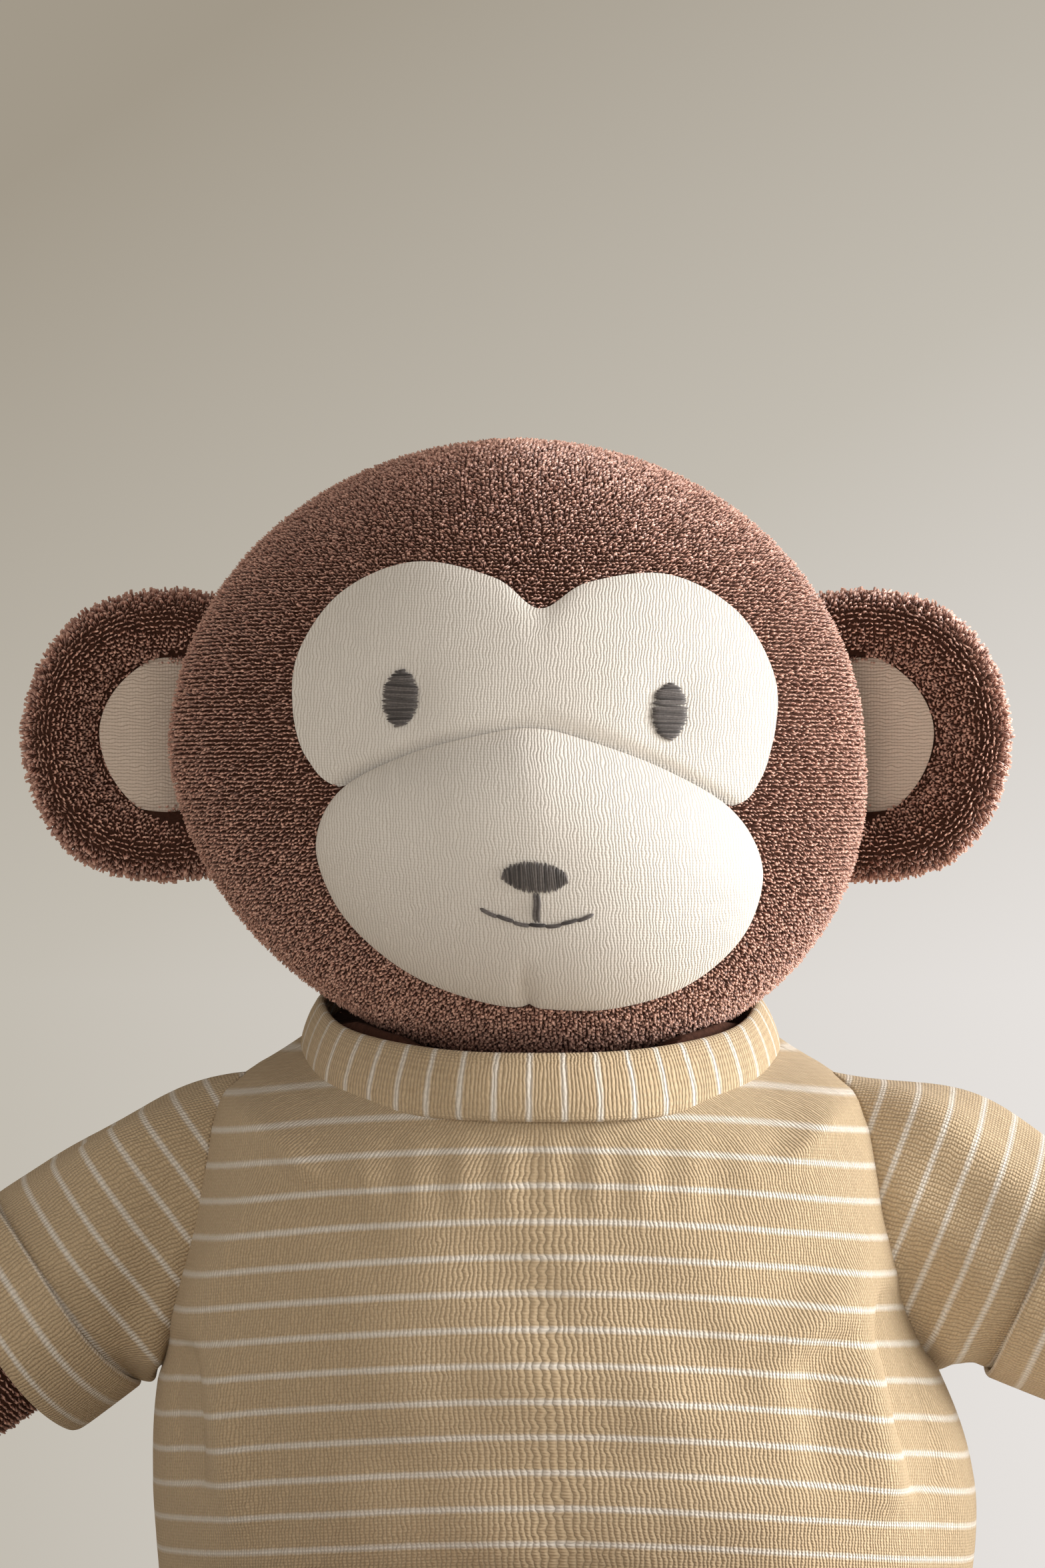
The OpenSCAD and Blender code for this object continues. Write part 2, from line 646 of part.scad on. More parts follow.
function tail_rings(off) = concat(
    [for (q = tail_root_rings) [for (p = tail_ring(0, tail_r * q[1] + off)) p + [0, q[0], 0]]],
    [for (q = tail_stations) tail_ring(q[0], tail_r * q[1] + off)]
);
module tail_skin() color(brown)
    capped(tail_line(1), concat(backwards(tail_rings(0)), tail_rings(-terry)), tail_line(0.993));
module tail_filling() color(fibre)
    capped(tail_root + [0, -tail_r * 0.88, 0], tail_rings(-terry - gap), tail_line(0.988));

seat_panel();
torso_skin();
torso_filling();
shirt_front();
shirt_back_left();
shirt_back_right();
back_placket();
hook_tape();
loop_tape();
collar_band();
neck_tube();
neck_filling();
head_front();
head_back();
head_filling();
face_mask();
muzzle_skin();
muzzle_padding();
left_eye();
right_eye();
nose();
philtrum_stitch();
mouth_stitches();
left_ear_back();
left_ear_front();
left_ear_lining();
left_ear_wadding();
right_ear_back();
right_ear_front();
right_ear_lining();
right_ear_wadding();
left_arm_skin();
left_arm_filling();
left_sleeve();
left_cuff();
right_arm_skin();
right_arm_filling();
right_sleeve();
right_cuff();
left_leg_skin();
left_leg_filling();
left_foot_sole();
right_leg_skin();
right_leg_filling();
right_foot_sole();
tail_skin();
tail_filling();
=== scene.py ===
# A stuffed monkey of looped brown terry in a striped jersey shirt
import json
import math
import bmesh
import bpy
import numpy as np
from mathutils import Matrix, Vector


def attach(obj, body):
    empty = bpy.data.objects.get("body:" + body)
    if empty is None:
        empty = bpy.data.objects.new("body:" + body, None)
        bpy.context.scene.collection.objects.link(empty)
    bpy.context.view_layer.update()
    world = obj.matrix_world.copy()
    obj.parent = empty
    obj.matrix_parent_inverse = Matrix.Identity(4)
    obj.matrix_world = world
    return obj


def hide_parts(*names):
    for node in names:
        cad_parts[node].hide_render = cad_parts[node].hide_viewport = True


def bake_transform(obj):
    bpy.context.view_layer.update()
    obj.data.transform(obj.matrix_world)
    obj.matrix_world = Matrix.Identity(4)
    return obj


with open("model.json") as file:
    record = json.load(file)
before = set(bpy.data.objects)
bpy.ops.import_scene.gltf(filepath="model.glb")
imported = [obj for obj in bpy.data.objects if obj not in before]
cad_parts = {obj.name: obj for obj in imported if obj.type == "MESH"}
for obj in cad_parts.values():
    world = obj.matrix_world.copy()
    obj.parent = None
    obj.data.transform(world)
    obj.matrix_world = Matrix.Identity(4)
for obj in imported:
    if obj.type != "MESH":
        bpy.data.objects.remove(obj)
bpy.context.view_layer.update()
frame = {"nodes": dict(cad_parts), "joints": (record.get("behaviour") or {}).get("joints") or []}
mm = 0.001
joints = {joint["name"]: joint for joint in frame["joints"]}


# Where a joint turns, in millimetres
def jointAt(name):
    return np.array(joints[name]["pos_m"]) * 1000


# A smooth curve through the rows, at t counted in rows
def along(rows, t):
    rows = np.asarray(rows, float)
    t = np.clip(t, 0, len(rows) - 1)
    i = np.minimum(t.astype(int), len(rows) - 2)
    f = (t - i)[..., None]
    a, b, c, d = (rows[np.clip(i + k, 0, len(rows) - 1)] for k in (-1, 0, 1, 2))
    return b + 0.5 * f * (c - a + f * (2 * a - 5 * b + 4 * c - d + f * (3 * (b - c) + d - a)))


# The same curve, found by the value in its first column
def rowsAt(rows, value):
    stations = [row[0] for row in rows]
    return along(rows, np.interp(value, stations, np.arange(len(rows))))


# A closed smooth curve through points, with t from 0 to 1
def alongLoop(points, t):
    n = len(points)
    wrapped = [points[-1]] + list(points) + list(points[:2])
    return along(wrapped, 1 + (np.asarray(t) % 1) * n)


# A half outline and its mirror image, as one loop
def mirrored(half):
    return list(half) + [(-x, z) for x, z in half[-2:0:-1]]


def ease(x, low, high):
    f = np.clip((x - low) / (high - low), 0, 1)
    return f * f * (3 - 2 * f)


def unit(vectors):
    return vectors / (np.linalg.norm(vectors, axis=-1, keepdims=True) + 1e-12)


def signedPower(x, power):
    return np.sign(x) * np.abs(x) ** power


# A soft ridge or furrow along the line from a to b
def ridge(x, z, a, b, width):
    a, b = np.array(a, float), np.array(b, float)
    run = b - a
    t = np.clip(((x - a[0]) * run[0] + (z - a[1]) * run[1]) / (run @ run), 0, 1)
    away = np.hypot(x - a[0] - t * run[0], z - a[1] - t * run[1])
    return np.exp(-(away / width) ** 2) * (0.35 + 0.65 * np.sin(math.pi * (0.12 + 0.76 * t)))


# An sRGB hex colour made linear
def linear(code):
    parts = [int(code[i:i + 2], 16) / 255 for i in (1, 3, 5)]
    return tuple(c / 12.92 if c < 0.04045 else ((c + 0.055) / 1.055) ** 2.4 for c in parts) + (1,)


def newObject(name, mesh, material):
    piece = bpy.data.objects.new(name, mesh)
    bpy.context.collection.objects.link(piece)
    mesh.materials.append(material)
    return piece


# A surface of across by down quads through place(u, v), with its UVs in millimetres
def cloth(name, place, across, down, material, uvs=None, thick=0):
    bm = bmesh.new()
    bmesh.ops.create_grid(bm, x_segments=across, y_segments=down, size=0.5)
    mesh = bpy.data.meshes.new(name)
    bm.to_mesh(mesh)
    bm.free()
    flat = np.zeros(len(mesh.vertices) * 3)
    mesh.vertices.foreach_get("co", flat)
    u, v = flat.reshape(-1, 3)[:, 0] + 0.5, flat.reshape(-1, 3)[:, 1] + 0.5
    mesh.vertices.foreach_set("co", (place(u, v) * mm).ravel())
    corner = np.zeros(len(mesh.loops), int)
    mesh.loops.foreach_get("vertex_index", corner)
    flatUv = np.stack(uvs(u, v) if uvs else (u, v), axis=-1)[corner]
    mesh.uv_layers.new(name="UVMap").data.foreach_set("uv", flatUv.ravel())
    bm = bmesh.new()
    bm.from_mesh(mesh)
    bmesh.ops.remove_doubles(bm, verts=bm.verts, dist=0.00001)
    bmesh.ops.recalc_face_normals(bm, faces=bm.faces)
    bm.to_mesh(mesh)
    bm.free()
    mesh.shade_smooth()
    piece = newObject(name, mesh, material)
    if thick:
        wall = piece.modifiers.new("Thickness", "SOLIDIFY")
        wall.thickness = thick * mm
        wall.offset = -1
        wall.use_rim = True
    return piece


# One mesh from arrays of points and of quads
def quadMesh(name, points, quads, material, values=None):
    mesh = bpy.data.meshes.new(name)
    mesh.vertices.add(len(points))
    mesh.vertices.foreach_set("co", (points * mm).ravel())
    mesh.loops.add(quads.size)
    mesh.loops.foreach_set("vertex_index", quads.ravel())
    mesh.polygons.add(len(quads))
    mesh.polygons.foreach_set("loop_start", np.arange(len(quads)) * 4)
    mesh.update(calc_edges=True)
    mesh.shade_smooth()
    for key, value in (values or {}).items():
        mesh.attributes.new(key, "FLOAT", "POINT").data.foreach_set("value", value.ravel())
    return newObject(name, mesh, material)


# Threads from stitches of the same number of points each: a path, and the way out of the cloth
def threads(name, stitches, radius, material, sides=6):
    paths, up = (np.array(part) for part in zip(*stitches))
    run = unit(np.gradient(paths, axis=1))
    side = unit(np.cross(run, up))
    turn = np.arange(sides) * 2 * math.pi / sides
    width = radius * np.clip(np.sin(np.linspace(0.12, math.pi - 0.12, paths.shape[1])) * 2.5, 0, 1)
    ring = (np.cos(turn)[:, None] * side[:, :, None]
            + np.sin(turn)[:, None] * np.cross(side, run)[:, :, None])
    points = paths[:, :, None] + width[None, :, None, None] * ring
    count, steps = paths.shape[:2]
    first = np.arange(count)[:, None, None] * steps * sides
    step = np.arange(steps - 1)[None, :, None] * sides
    a = np.arange(sides)[None, None]
    b = (a + 1) % sides
    quads = np.stack([a + step, b + step, b + step + sides, a + step + sides], -1) + first[..., None]
    shade = np.repeat(np.random.default_rng(4).random(count), steps * sides)
    return quadMesh(name, points.reshape(-1, 3), quads.reshape(-1, 4), material, {"shade": shade})


# A node with its settings; a source is a value, a node whose first output is linked, or an output
def nodeIn(material, kind, sources=None, **values):
    node = material.node_tree.nodes.new("ShaderNode" + kind)
    for key, value in values.items():
        setattr(node, key, value)
    for socket, source in (sources or {}).items():
        source = source.outputs[0] if hasattr(source, "outputs") else source
        if hasattr(source, "links"):
            material.node_tree.links.new(source, node.inputs[socket])
        else:
            node.inputs[socket].default_value = source
    return node


# The start of every cloth: rough, hardly shiny, with a nap that catches side light
def fabric(name, roughness, sheen, sheenTint):
    material = bpy.data.materials.new(name)
    material.use_nodes = True
    shader = material.node_tree.nodes["Principled BSDF"]
    shader.inputs["Roughness"].default_value = roughness
    shader.inputs["Sheen Weight"].default_value = sheen
    shader.inputs["Sheen Roughness"].default_value = 0.5
    shader.inputs["Sheen Tint"].default_value = linear(sheenTint)
    shader.inputs["Specular IOR Level"].default_value = 0.2
    return material, shader


# The colour of a cloth and the height of its threads, deep in millimetres, put on its shader
def dress(material, shader, colour, height, deep, strength):
    bump = nodeIn(material, "Bump", {"Height": height, "Distance": deep * mm, "Strength": strength})
    material.node_tree.links.new(colour, shader.inputs["Base Color"])
    material.node_tree.links.new(bump.outputs[0], shader.inputs["Normal"])


# The knit of a single jersey: upright ribs a wale apart, broken by a course of small gaps
def knitHeight(material, wale, course):
    place = nodeIn(material, "UVMap", uv_map="UVMap")
    split = nodeIn(material, "SeparateXYZ", {0: place})
    wobble = nodeIn(material, "TexNoise", {"Vector": place, "Scale": 0.35, "Detail": 2.0})
    shift = nodeIn(material, "Math", {0: wobble, 1: 1.3, 2: split}, operation="MULTIPLY_ADD")
    across = nodeIn(material, "Math", {0: shift, 1: math.pi / wale}, operation="MULTIPLY")
    rib = nodeIn(material, "Math", {0: across}, operation="SINE")
    ribUp = nodeIn(material, "Math", {0: rib}, operation="ABSOLUTE")
    down = nodeIn(material, "Math", {0: split.outputs[1], 1: 2 * math.pi / course}, operation="MULTIPLY")
    lean = nodeIn(material, "Math", {0: ribUp, 1: 1.4, 2: down}, operation="MULTIPLY_ADD")
    loop = nodeIn(material, "Math", {0: lean}, operation="SINE")
    loopUp = nodeIn(material, "Math", {0: loop, 1: 0.2, 2: 0.8}, operation="MULTIPLY_ADD")
    height = nodeIn(material, "Math", {0: ribUp, 1: loopUp}, operation="MULTIPLY")
    return place, split, height


# Cotton jersey in one colour, with its knit, a few neps and a soft nap; mottled at random, and darker in the
# knit's gaps as painted shade
def jersey(name, colour, dark, wale=0.62, course=0.5, deep=0.25):
    material, shader = fabric(name, 0.85, 0.35, "#fff6ea")
    place, _, height = knitHeight(material, wale, course)
    cloud = nodeIn(material, "TexNoise", {"Vector": place, "Scale": 0.09, "Detail": 4.0})
    # The knit's low gaps take the dark colour: painted shade in the recesses
    thin = nodeIn(material, "MapRange", {"Value": height, "From Min": 0.05, "From Max": 0.6})
    tone = nodeIn(material, "Math", {0: cloud, 1: 0.35, 2: thin}, operation="MULTIPLY_ADD")
    mix = nodeIn(material, "Mix", {0: tone, 6: linear(dark), 7: linear(colour)}, data_type="RGBA")
    dress(material, shader, mix.outputs[2], height, deep, 0.6)
    return material


# Tan jersey with thin pale stripes every pitch millimetres, along UV axis number way
def stripedJersey(name, way, stripe=dict(pitch=6.9, wide=1.1)):
    material, shader = fabric(name, 0.85, 0.3, "#ffeed8")
    place, split, height = knitHeight(material, 0.8, 0.62)
    ragged = nodeIn(material, "TexNoise", {"Vector": place, "Scale": 0.9, "Detail": 3.0})
    spot = nodeIn(material, "Math", {0: ragged, 1: 0.5, 2: split.outputs[way]}, operation="MULTIPLY_ADD")
    phase = nodeIn(material, "Math", {0: spot, 1: 0.0, 2: stripe["pitch"]}, operation="WRAP")
    centre = nodeIn(material, "Math", {0: phase, 1: stripe["pitch"] / 2}, operation="SUBTRACT")
    away = nodeIn(material, "Math", {0: centre}, operation="ABSOLUTE")
    half = stripe["wide"] / 2
    inStripe = nodeIn(material, "MapRange",
                      {"Value": away, "From Min": half - 0.32, "From Max": half + 0.32, "To Min": 1.0,
                       "To Max": 0.0})
    heather = nodeIn(material, "TexNoise",
                     {"Vector": place, "Scale": 1.6, "Detail": 5.0, "Roughness": 0.7})
    tan = nodeIn(material, "Mix", {0: heather, 6: linear("#a48968"), 7: linear("#e1cdab")},
                 data_type="RGBA")
    both = nodeIn(material, "Mix", {0: inStripe, 6: tan.outputs[2], 7: linear("#e4dccf")},
                  data_type="RGBA")
    # Darker in the knit's low gaps: painted shade in the recesses
    gap = nodeIn(material, "MapRange", {"Value": height, "From Min": 0.0, "From Max": 0.55,
                                        "To Min": 0.7, "To Max": 1.0})
    shaded = nodeIn(material, "Mix", {0: 1.0, 6: both.outputs[2], 7: gap}, data_type="RGBA",
                    blend_type="MULTIPLY")
    dress(material, shader, shaded.outputs[2], height, 0.38, 0.8)
    return material


# The loops of cotton terry: brown, dark at the root as painted shade, and paler at the tip as a painted
# highlight
def terryLoops():
    material, shader = fabric("brownTerryLoops", 0.48, 0.75, "#f0c4b0")
    shader.inputs["Specular IOR Level"].default_value = 0.9
    shader.inputs["IOR"].default_value = 1.6
    tip = nodeIn(material, "Attribute", attribute_name="tip")
    shade = nodeIn(material, "Attribute", attribute_name="shade")
    # Along the loop's height: painted shade at the root, brown in the middle, a painted highlight at the tip
    ramp = nodeIn(material, "ValToRGB", {0: tip.outputs["Fac"]})
    stops = ramp.color_ramp.elements
    stops[0].color = linear("#38190f")
    stops[1].color = linear("#e9b8a3")
    middle = stops.new(0.55)
    middle.color = linear("#8a5341")
    tone = nodeIn(material, "MapRange", {"Value": shade.outputs["Fac"], "To Min": 0.8, "To Max": 1.2})
    mix = nodeIn(material, "Mix", {0: 1.0, 6: ramp, 7: tone}, data_type="RGBA", blend_type="MULTIPLY")
    material.node_tree.links.new(mix.outputs[2], shader.inputs["Base Color"])
    return material


# The knitted ground that the terry loops stand on, coloured darker than the yarn as painted shade in the gaps
# between the loops
def terryGround():
    material, shader = fabric("brownTerryGround", 0.95, 0.2, "#a57460")
    place = nodeIn(material, "TexCoord")
    grain = nodeIn(material, "TexNoise", {"Vector": place.outputs["Object"], "Scale": 900.0,
                                          "Detail": 3.0})
    # Dark brown as painted shade between the loops, mottled at random by the grain
    mix = nodeIn(material, "Mix", {0: grain, 6: linear("#24130d"), 7: linear("#553528")},
                 data_type="RGBA")
    dress(material, shader, mix.outputs[2], grain, 0.4, 1.0)
    return material


# Stranded embroidery cotton
def embroideryThread():
    material, shader = fabric("charcoalThread", 0.42, 0.5, "#d8d4d0")
    shade = nodeIn(material, "Attribute", attribute_name="shade")
    place = nodeIn(material, "TexCoord")
    strand = nodeIn(material, "TexNoise", {"Vector": place.outputs["Object"], "Scale": 2500.0,
                                           "Detail": 2.0})
    tone = nodeIn(material, "Math", {0: shade.outputs["Fac"], 1: strand}, operation="MULTIPLY")
    mix = nodeIn(material, "Mix", {0: tone, 6: linear("#302d2d"), 7: linear("#857e7b")}, data_type="RGBA")
    material.node_tree.links.new(mix.outputs[2], shader.inputs["Base Color"])
    return material


loopTerry = terryLoops()
groundTerry = terryGround()
creamJersey = jersey("creamJersey", "#e3ded6", "#b8aea2")
liningJersey = jersey("liningJersey", "#e4d3c3", "#ae9b88", wale=0.7, course=0.6)
tapeJersey = jersey("tapeJersey", "#bb9a6f", "#8d6e45")
shirtJersey = stripedJersey("stripedShirtJersey", 1)
collarJersey = stripedJersey("stripedCollarJersey", 0)
darkThread = embroideryThread()


# Terry loops in millimetres, a little coarser than real ones, so that they show
pile = dict(pitch=0.9, wide=0.35, tall=1.05, yarn=0.15, sides=3, steps=3, lean=0.35, sink=0.25)


# One yarn loop standing on its two feet, one millimetre half-span
def loopShape():
    bm = bmesh.new()
    bmesh.ops.create_circle(bm, segments=pile["sides"], radius=pile["yarn"] / pile["wide"])
    bmesh.ops.translate(bm, verts=bm.verts, vec=(1, 0, 0))
    bmesh.ops.spin(bm, geom=bm.verts[:] + bm.edges[:], cent=(0, 0, 0), axis=(0, -1, 0), angle=math.pi,
                   steps=pile["steps"])
    bmesh.ops.recalc_face_normals(bm, faces=bm.faces)
    points = np.array([v.co for v in bm.verts])
    quads = np.array([[v.index for v in f.verts] for f in bm.faces])
    bm.free()
    return points, quads


def lengthAlong(points):
    return np.concatenate([[0], np.cumsum(np.linalg.norm(np.diff(points, axis=0), axis=1))])


# Rows of spots an even pitch apart over the surface place(u, v)
def spotsOn(place, pitch, seed):
    random = np.random.default_rng(seed)
    fine = np.linspace(0, 1, 300)
    length = lengthAlong(place(np.full(300, 0.31), fine))
    rows = np.interp(np.arange(pitch / 2, length[-1], pitch), length, fine)
    allU, allV = [], []
    for number, v in enumerate(rows):
        length = lengthAlong(place(fine, np.full(300, v)))
        start = pitch * (0.25 + 0.5 * (number % 2))
        spots = np.arange(start, length[-1], pitch)
        spots = spots + random.normal(0, 0.12 * pitch, len(spots))
        allU.append(np.interp(spots, length, fine))
        allV.append(np.full(len(spots), v) + random.normal(0, 0.08 / len(rows), len(spots)))
    return np.concatenate(allU), np.concatenate(allV)


# The surface's own directions at (u, v): along u, along v, and out of it
def directions(place, u, v):
    small = 0.0005
    alongU = place(u + small, v) - place(u - small, v)
    alongV = place(u, v + small) - place(u, v - small)
    out = unit(np.cross(alongU, alongV))
    alongU = unit(alongU)
    return alongU, np.cross(out, alongU), out


# A piece of terry pile over place(u, v), where keep(points) is true
def terry(name, place, pitch, seed, keep=None, long=None):
    u, v = spotsOn(place, pitch, seed)
    spots = place(u, v)
    if keep is not None:
        wanted = keep(spots)
        u, v, spots = u[wanted], v[wanted], spots[wanted]
    side, fore, out = directions(place, u, v)
    random = np.random.default_rng(seed + 100)
    count = len(spots)
    turn = random.normal(0, 0.35, count)[:, None]
    across = side * np.cos(turn) + fore * np.sin(turn)
    up = unit(out + pile["lean"] * (random.normal(0, 0.7, (count, 1)) * fore - 0.35 * fore
                                    + random.normal(0, 0.7, (count, 1)) * side))
    deep = unit(np.cross(up, across))
    wide = pile["wide"] * pitch / pile["pitch"] * random.uniform(0.75, 1.25, count)
    tall = pile["tall"] * random.uniform(0.6, 1.15, count)
    if long is not None:
        tall = tall * long(spots)
    points, quads = loopShape()
    x, y, z = points.T
    placed = (spots[:, None] + across[:, None] * (wide[:, None] * x)[..., None]
              + deep[:, None] * (wide[:, None] * y)[..., None]
              + up[:, None] * (tall[:, None] * z - pile["sink"])[..., None])
    placedQuads = quads[None] + (np.arange(count) * len(points))[:, None, None]
    tip = np.broadcast_to(np.clip(z, 0, 1), (count, len(points))) * random.uniform(0.75, 1.1, count)[:,
                                                                                                     None]
    shade = np.repeat(random.random(count), len(points))
    piece = quadMesh(name, placed.reshape(-1, 3), placedQuads.reshape(-1, 4), loopTerry,
                     {"tip": tip, "shade": shade})
    print(name, count, "loops")
    return piece


# half holds the head's half sizes, ahead how straight forward a raised spot of the face goes
head = dict(half=(70.5, 59, 63.5), lean=0.115, tilt=math.radians(2.8), shift=3.2, ahead=0.7, pile=-0.7)
headAt = jointAt("head_turn")


def lean(z):
    return head["lean"] * np.maximum(0, -z)


# Round the head from the back, over the front, with v from the neck to the crown
def headPlace(u, v, off=0.0):
    a, b, c = head["half"]
    turn = (u - 0.5) * 2 * math.pi
    rise = np.radians(-78 + 168 * v)
    x, y, z = np.cos(rise) * np.sin(turn), -np.cos(rise) * np.cos(turn), np.sin(rise)
    out = unit(np.stack([x / a, y / b, z / c], -1))
    point = np.stack([a * x + lean(c * z), b * y, c * z], -1)
    return headAt + point + off * out


# A spot x across and z up the face, standing off from the head
def onFace(x, z, off=0.0):
    a, b, c = head["half"]
    turn = head["tilt"]
    px = x * math.cos(turn) + z * math.sin(turn) + head["shift"]
    pz = z * math.cos(turn) - x * math.sin(turn)
    py = -b * np.sqrt(np.maximum(0.0001, 1 - (px / a) ** 2 - (pz / c) ** 2))
    out = unit(np.stack([px / a ** 2, py / b ** 2, pz / c ** 2], -1))
    out = unit(out * (1 - head["ahead"]) + np.array([0, -head["ahead"], 0]))
    point = np.stack([px + lean(pz), py, pz], -1)
    return headAt + point + np.asarray(off)[..., None] * out


# The same, backwards: where a point of the head is on the face
def faceOf(points):
    p = points - headAt
    x, z = p[:, 0] - lean(p[:, 2]) - head["shift"], p[:, 2]
    turn = head["tilt"]
    return x * math.cos(turn) - z * math.sin(turn), z * math.cos(turn) + x * math.sin(turn)


# How far an outline is from its middle, in the direction of (x, z), and how far (x, z) is
def reachOf(x, z, outline, middle=None):
    ring = alongLoop(outline, np.arange(120) / 120)
    middle = ring.mean(axis=0) if middle is None else np.array(middle)
    way = np.arctan2(*(ring - middle).T[::-1])
    order = np.argsort(way)
    reach = np.interp(np.arctan2(z - middle[1], x - middle[0]), way[order],
                      np.hypot(*(ring - middle)[order].T), period=2 * math.pi)
    return reach, np.hypot(x - middle[0], z - middle[1])


def inside(x, z, outline, grow=0.0):
    reach, far = reachOf(x, z, outline)
    return far < reach + grow


mask = dict(
    outline=mirrored([(0, 27.6), (9, 33.2), (24.6, 35.8), (38.5, 29.5), (46.4, 17.5), (47, 6),
                      (43.8, -3.5), (37.5, -9), (20, -10.5), (0, -10.5)]),
    middle=(0, 10))
muzzle = dict(
    outline=mirrored([(0, 4.4), (7.8, 3.2), (23.5, -1.6), (37.5, -9.2), (43.2, -19.5), (41.2, -30),
                      (35.2, -38.4), (25.2, -45.6), (12, -49.8), (0, -50.4)]),
    middle=(0, -22), swell=14.6)
eye = dict(x=25.9, z=8.9, half=(3.5, 5.4), thread=0.42)


# A point of a face patch, r of the way from its middle to its outline
def patchAt(patch, u, r):
    ring = alongLoop(patch["outline"], u)
    middle = np.array(patch["middle"], float)
    return (middle + (ring - middle) * r[..., None]).T


def muzzleRise(x, z):
    reach, far = reachOf(x, z, muzzle["outline"], muzzle["middle"])
    r = np.clip(far / reach, 0, 1)
    rise = 0.4 + muzzle["swell"] * (1 - r ** 2.4) ** 0.66
    dart = 3.2 * np.exp(-(np.abs(x + 4) / 1.2) ** 1.3) * ease(-z, 37, 47)
    return rise - dart


def maskRise(x, z, r):
    rise = 0.2 + 1.3 * (1 - r ** 6)
    for side in (-1, 1):
        away = np.hypot(x - side * eye["x"], (z - eye["z"]) * 0.8)
        rise = rise - 0.9 * np.exp(-(away / 6) ** 2)
    reach, far = reachOf(x, z, muzzle["outline"], muzzle["middle"])
    return rise - 1.5 * np.exp(-(np.maximum(0, far - reach) / 2.2) ** 2)


def makeMask():
    def place(u, v):
        r = np.sqrt(v)
        x, z = patchAt(mask, u, r)
        return onFace(x, z, maskRise(x, z, r))

    def uvs(u, v):
        return patchAt(mask, u, np.sqrt(v))
    return cloth("faceMask", place, 160, 40, creamJersey, uvs)


def makeMuzzle():
    def reach(v):
        return 1 - (1 - v) ** 1.4

    def place(u, v):
        x, z = patchAt(muzzle, u, reach(v))
        return onFace(x, z, muzzleRise(x, z))

    def uvs(u, v):
        return patchAt(muzzle, u, reach(v))
    return cloth("muzzle", place, 160, 60, creamJersey, uvs)


# Threads laid side by side over an oval; across=True lays them from side to side
def satinOval(name, centre, half, rise, across, seed):
    random = np.random.default_rng(seed)
    pitch = eye["thread"]
    length, width = (half[1], half[0]) if across else (half[0], half[1])
    rows = np.arange(-length + pitch / 2, length, pitch)
    t = np.linspace(-1, 1, 11)
    stitches = []
    for row in rows:
        reach = width * math.sqrt(1 - (row / length) ** 2) * random.uniform(0.94, 1.06)
        run = t * reach
        slip = row + 0.25 * random.normal() * t * 0.6
        x, z = (run, slip) if across else (slip, run)
        x, z = x + centre[0], z + centre[1]
        dome = 0.5 * (1 - (row / length) ** 2) + 0.55 * np.sqrt(np.clip(1 - t ** 2, 0, 1)) - 0.15
        stitches.append(stitched(x, z, rise(x, z) + dome))
    return threads(name, stitches, pitch * 0.62, darkThread)


# A stitch along x and z on the face, and the way out of the cloth beside it
def stitched(x, z, off):
    path = onFace(x, z, off)
    return path, onFace(x, z, off + 1) - path


mouth = dict(shift=-1.2, low=-31.4, curve=0.026, pitch=2.9, stitch=3.1, thread=0.4)
nose = dict(centre=(-1.2, -22.6), half=(5.9, 2.8))


def makeStitches():
    pieces = []
    for side, name in ((-1, "rightEye"), (1, "leftEye")):
        pieces.append(satinOval(name, (side * eye["x"], eye["z"]), eye["half"],
                                lambda x, z: maskRise(x, z, np.zeros_like(x)), True, 7 + side))
    pieces.append(satinOval("nose", nose["centre"], nose["half"], muzzleRise, False, 11))
    t = np.linspace(0, 1, 9)
    stitches = []
    for i in range(-3, 4):
        x = mouth["pitch"] * i + (t - 0.5) * mouth["stitch"]
        z = mouth["low"] + mouth["curve"] * x ** 2 + 0.12 * (-1) ** i
        x = x + mouth["shift"]
        stitches.append(stitched(x, z, muzzleRise(x, z) + 0.45 * np.sin(math.pi * t)))
    pieces.append(threads("mouthStitches", stitches, mouth["thread"], darkThread, sides=8))
    stitches = []
    for shift in (-0.3, 0.3):
        x = shift + mouth["shift"] + 0.15 * np.sin(t * 6)
        z = -25.4 - 5.4 * t
        stitches.append(stitched(x, z, muzzleRise(x, z) + 0.4 * np.sin(math.pi * t)))
    pieces.append(threads("philtrumStitch", stitches, 0.38, darkThread, sides=8))
    return pieces


def makeHead():
    skin = cloth("headSkin", lambda u, v: headPlace(u, v, head["pile"] - 0.3), 96, 64, groundTerry)

    def bare(points):
        x, z = faceOf(points)
        front = points[:, 1] < headAt[1] + 8
        return ~(front & (inside(x, z, mask["outline"], -0.5) | inside(x, z, muzzle["outline"], -0.5)))

    parts = []
    halves = (("headPileFrontRight", 0.25, 0.42, 0.84), ("headPileFrontMiddle", 0.42, 0.58, 0.84),
              ("headPileFrontLeft", 0.58, 0.75, 0.84),
              ("headPileBackRight", 0.0, 0.25, 1.2), ("headPileBackLeft", 0.75, 1.0, 1.2))
    for seed, (name, low, high, pitch) in enumerate(halves):
        def place(u, v, low=low, high=high):
            return headPlace(low + (high - low) * u, v, head["pile"])
        parts.append(terry(name, place, pitch, seed, bare))
    return skin, parts


ear = dict(
    outline=[(57, 27), (66, 31.8), (76, 31.8), (84.5, 29.5), (91, 24.8), (96.5, 16.5), (99.3, 4.7),
             (98, -5.5), (94.3, -14.3), (88, -21), (79, -24.2), (67, -24.5), (57, -20), (53, 4)],
    middle=(73, 4),
    front=[(0, 0.6), (0.3, 0.4), (0.52, -0.4), (0.62, -3.4), (0.78, -6.2), (0.92, -5), (1, -1),
           (0.98, 2.6), (0.86, 4.8), (0.55, 5.6), (0, 6)],
    lining=[(55, 21), (64, 22), (74, 19.6), (82, 13), (85.2, 4.5), (82.6, -5), (75.5, -12.5), (65, -15.5),
            (55, -14)],
    dish=4.5)


# How far an ear curls forward, x out from the head's middle
def earCup(x):
    return -0.0062 * np.maximum(0, x - 66) ** 2


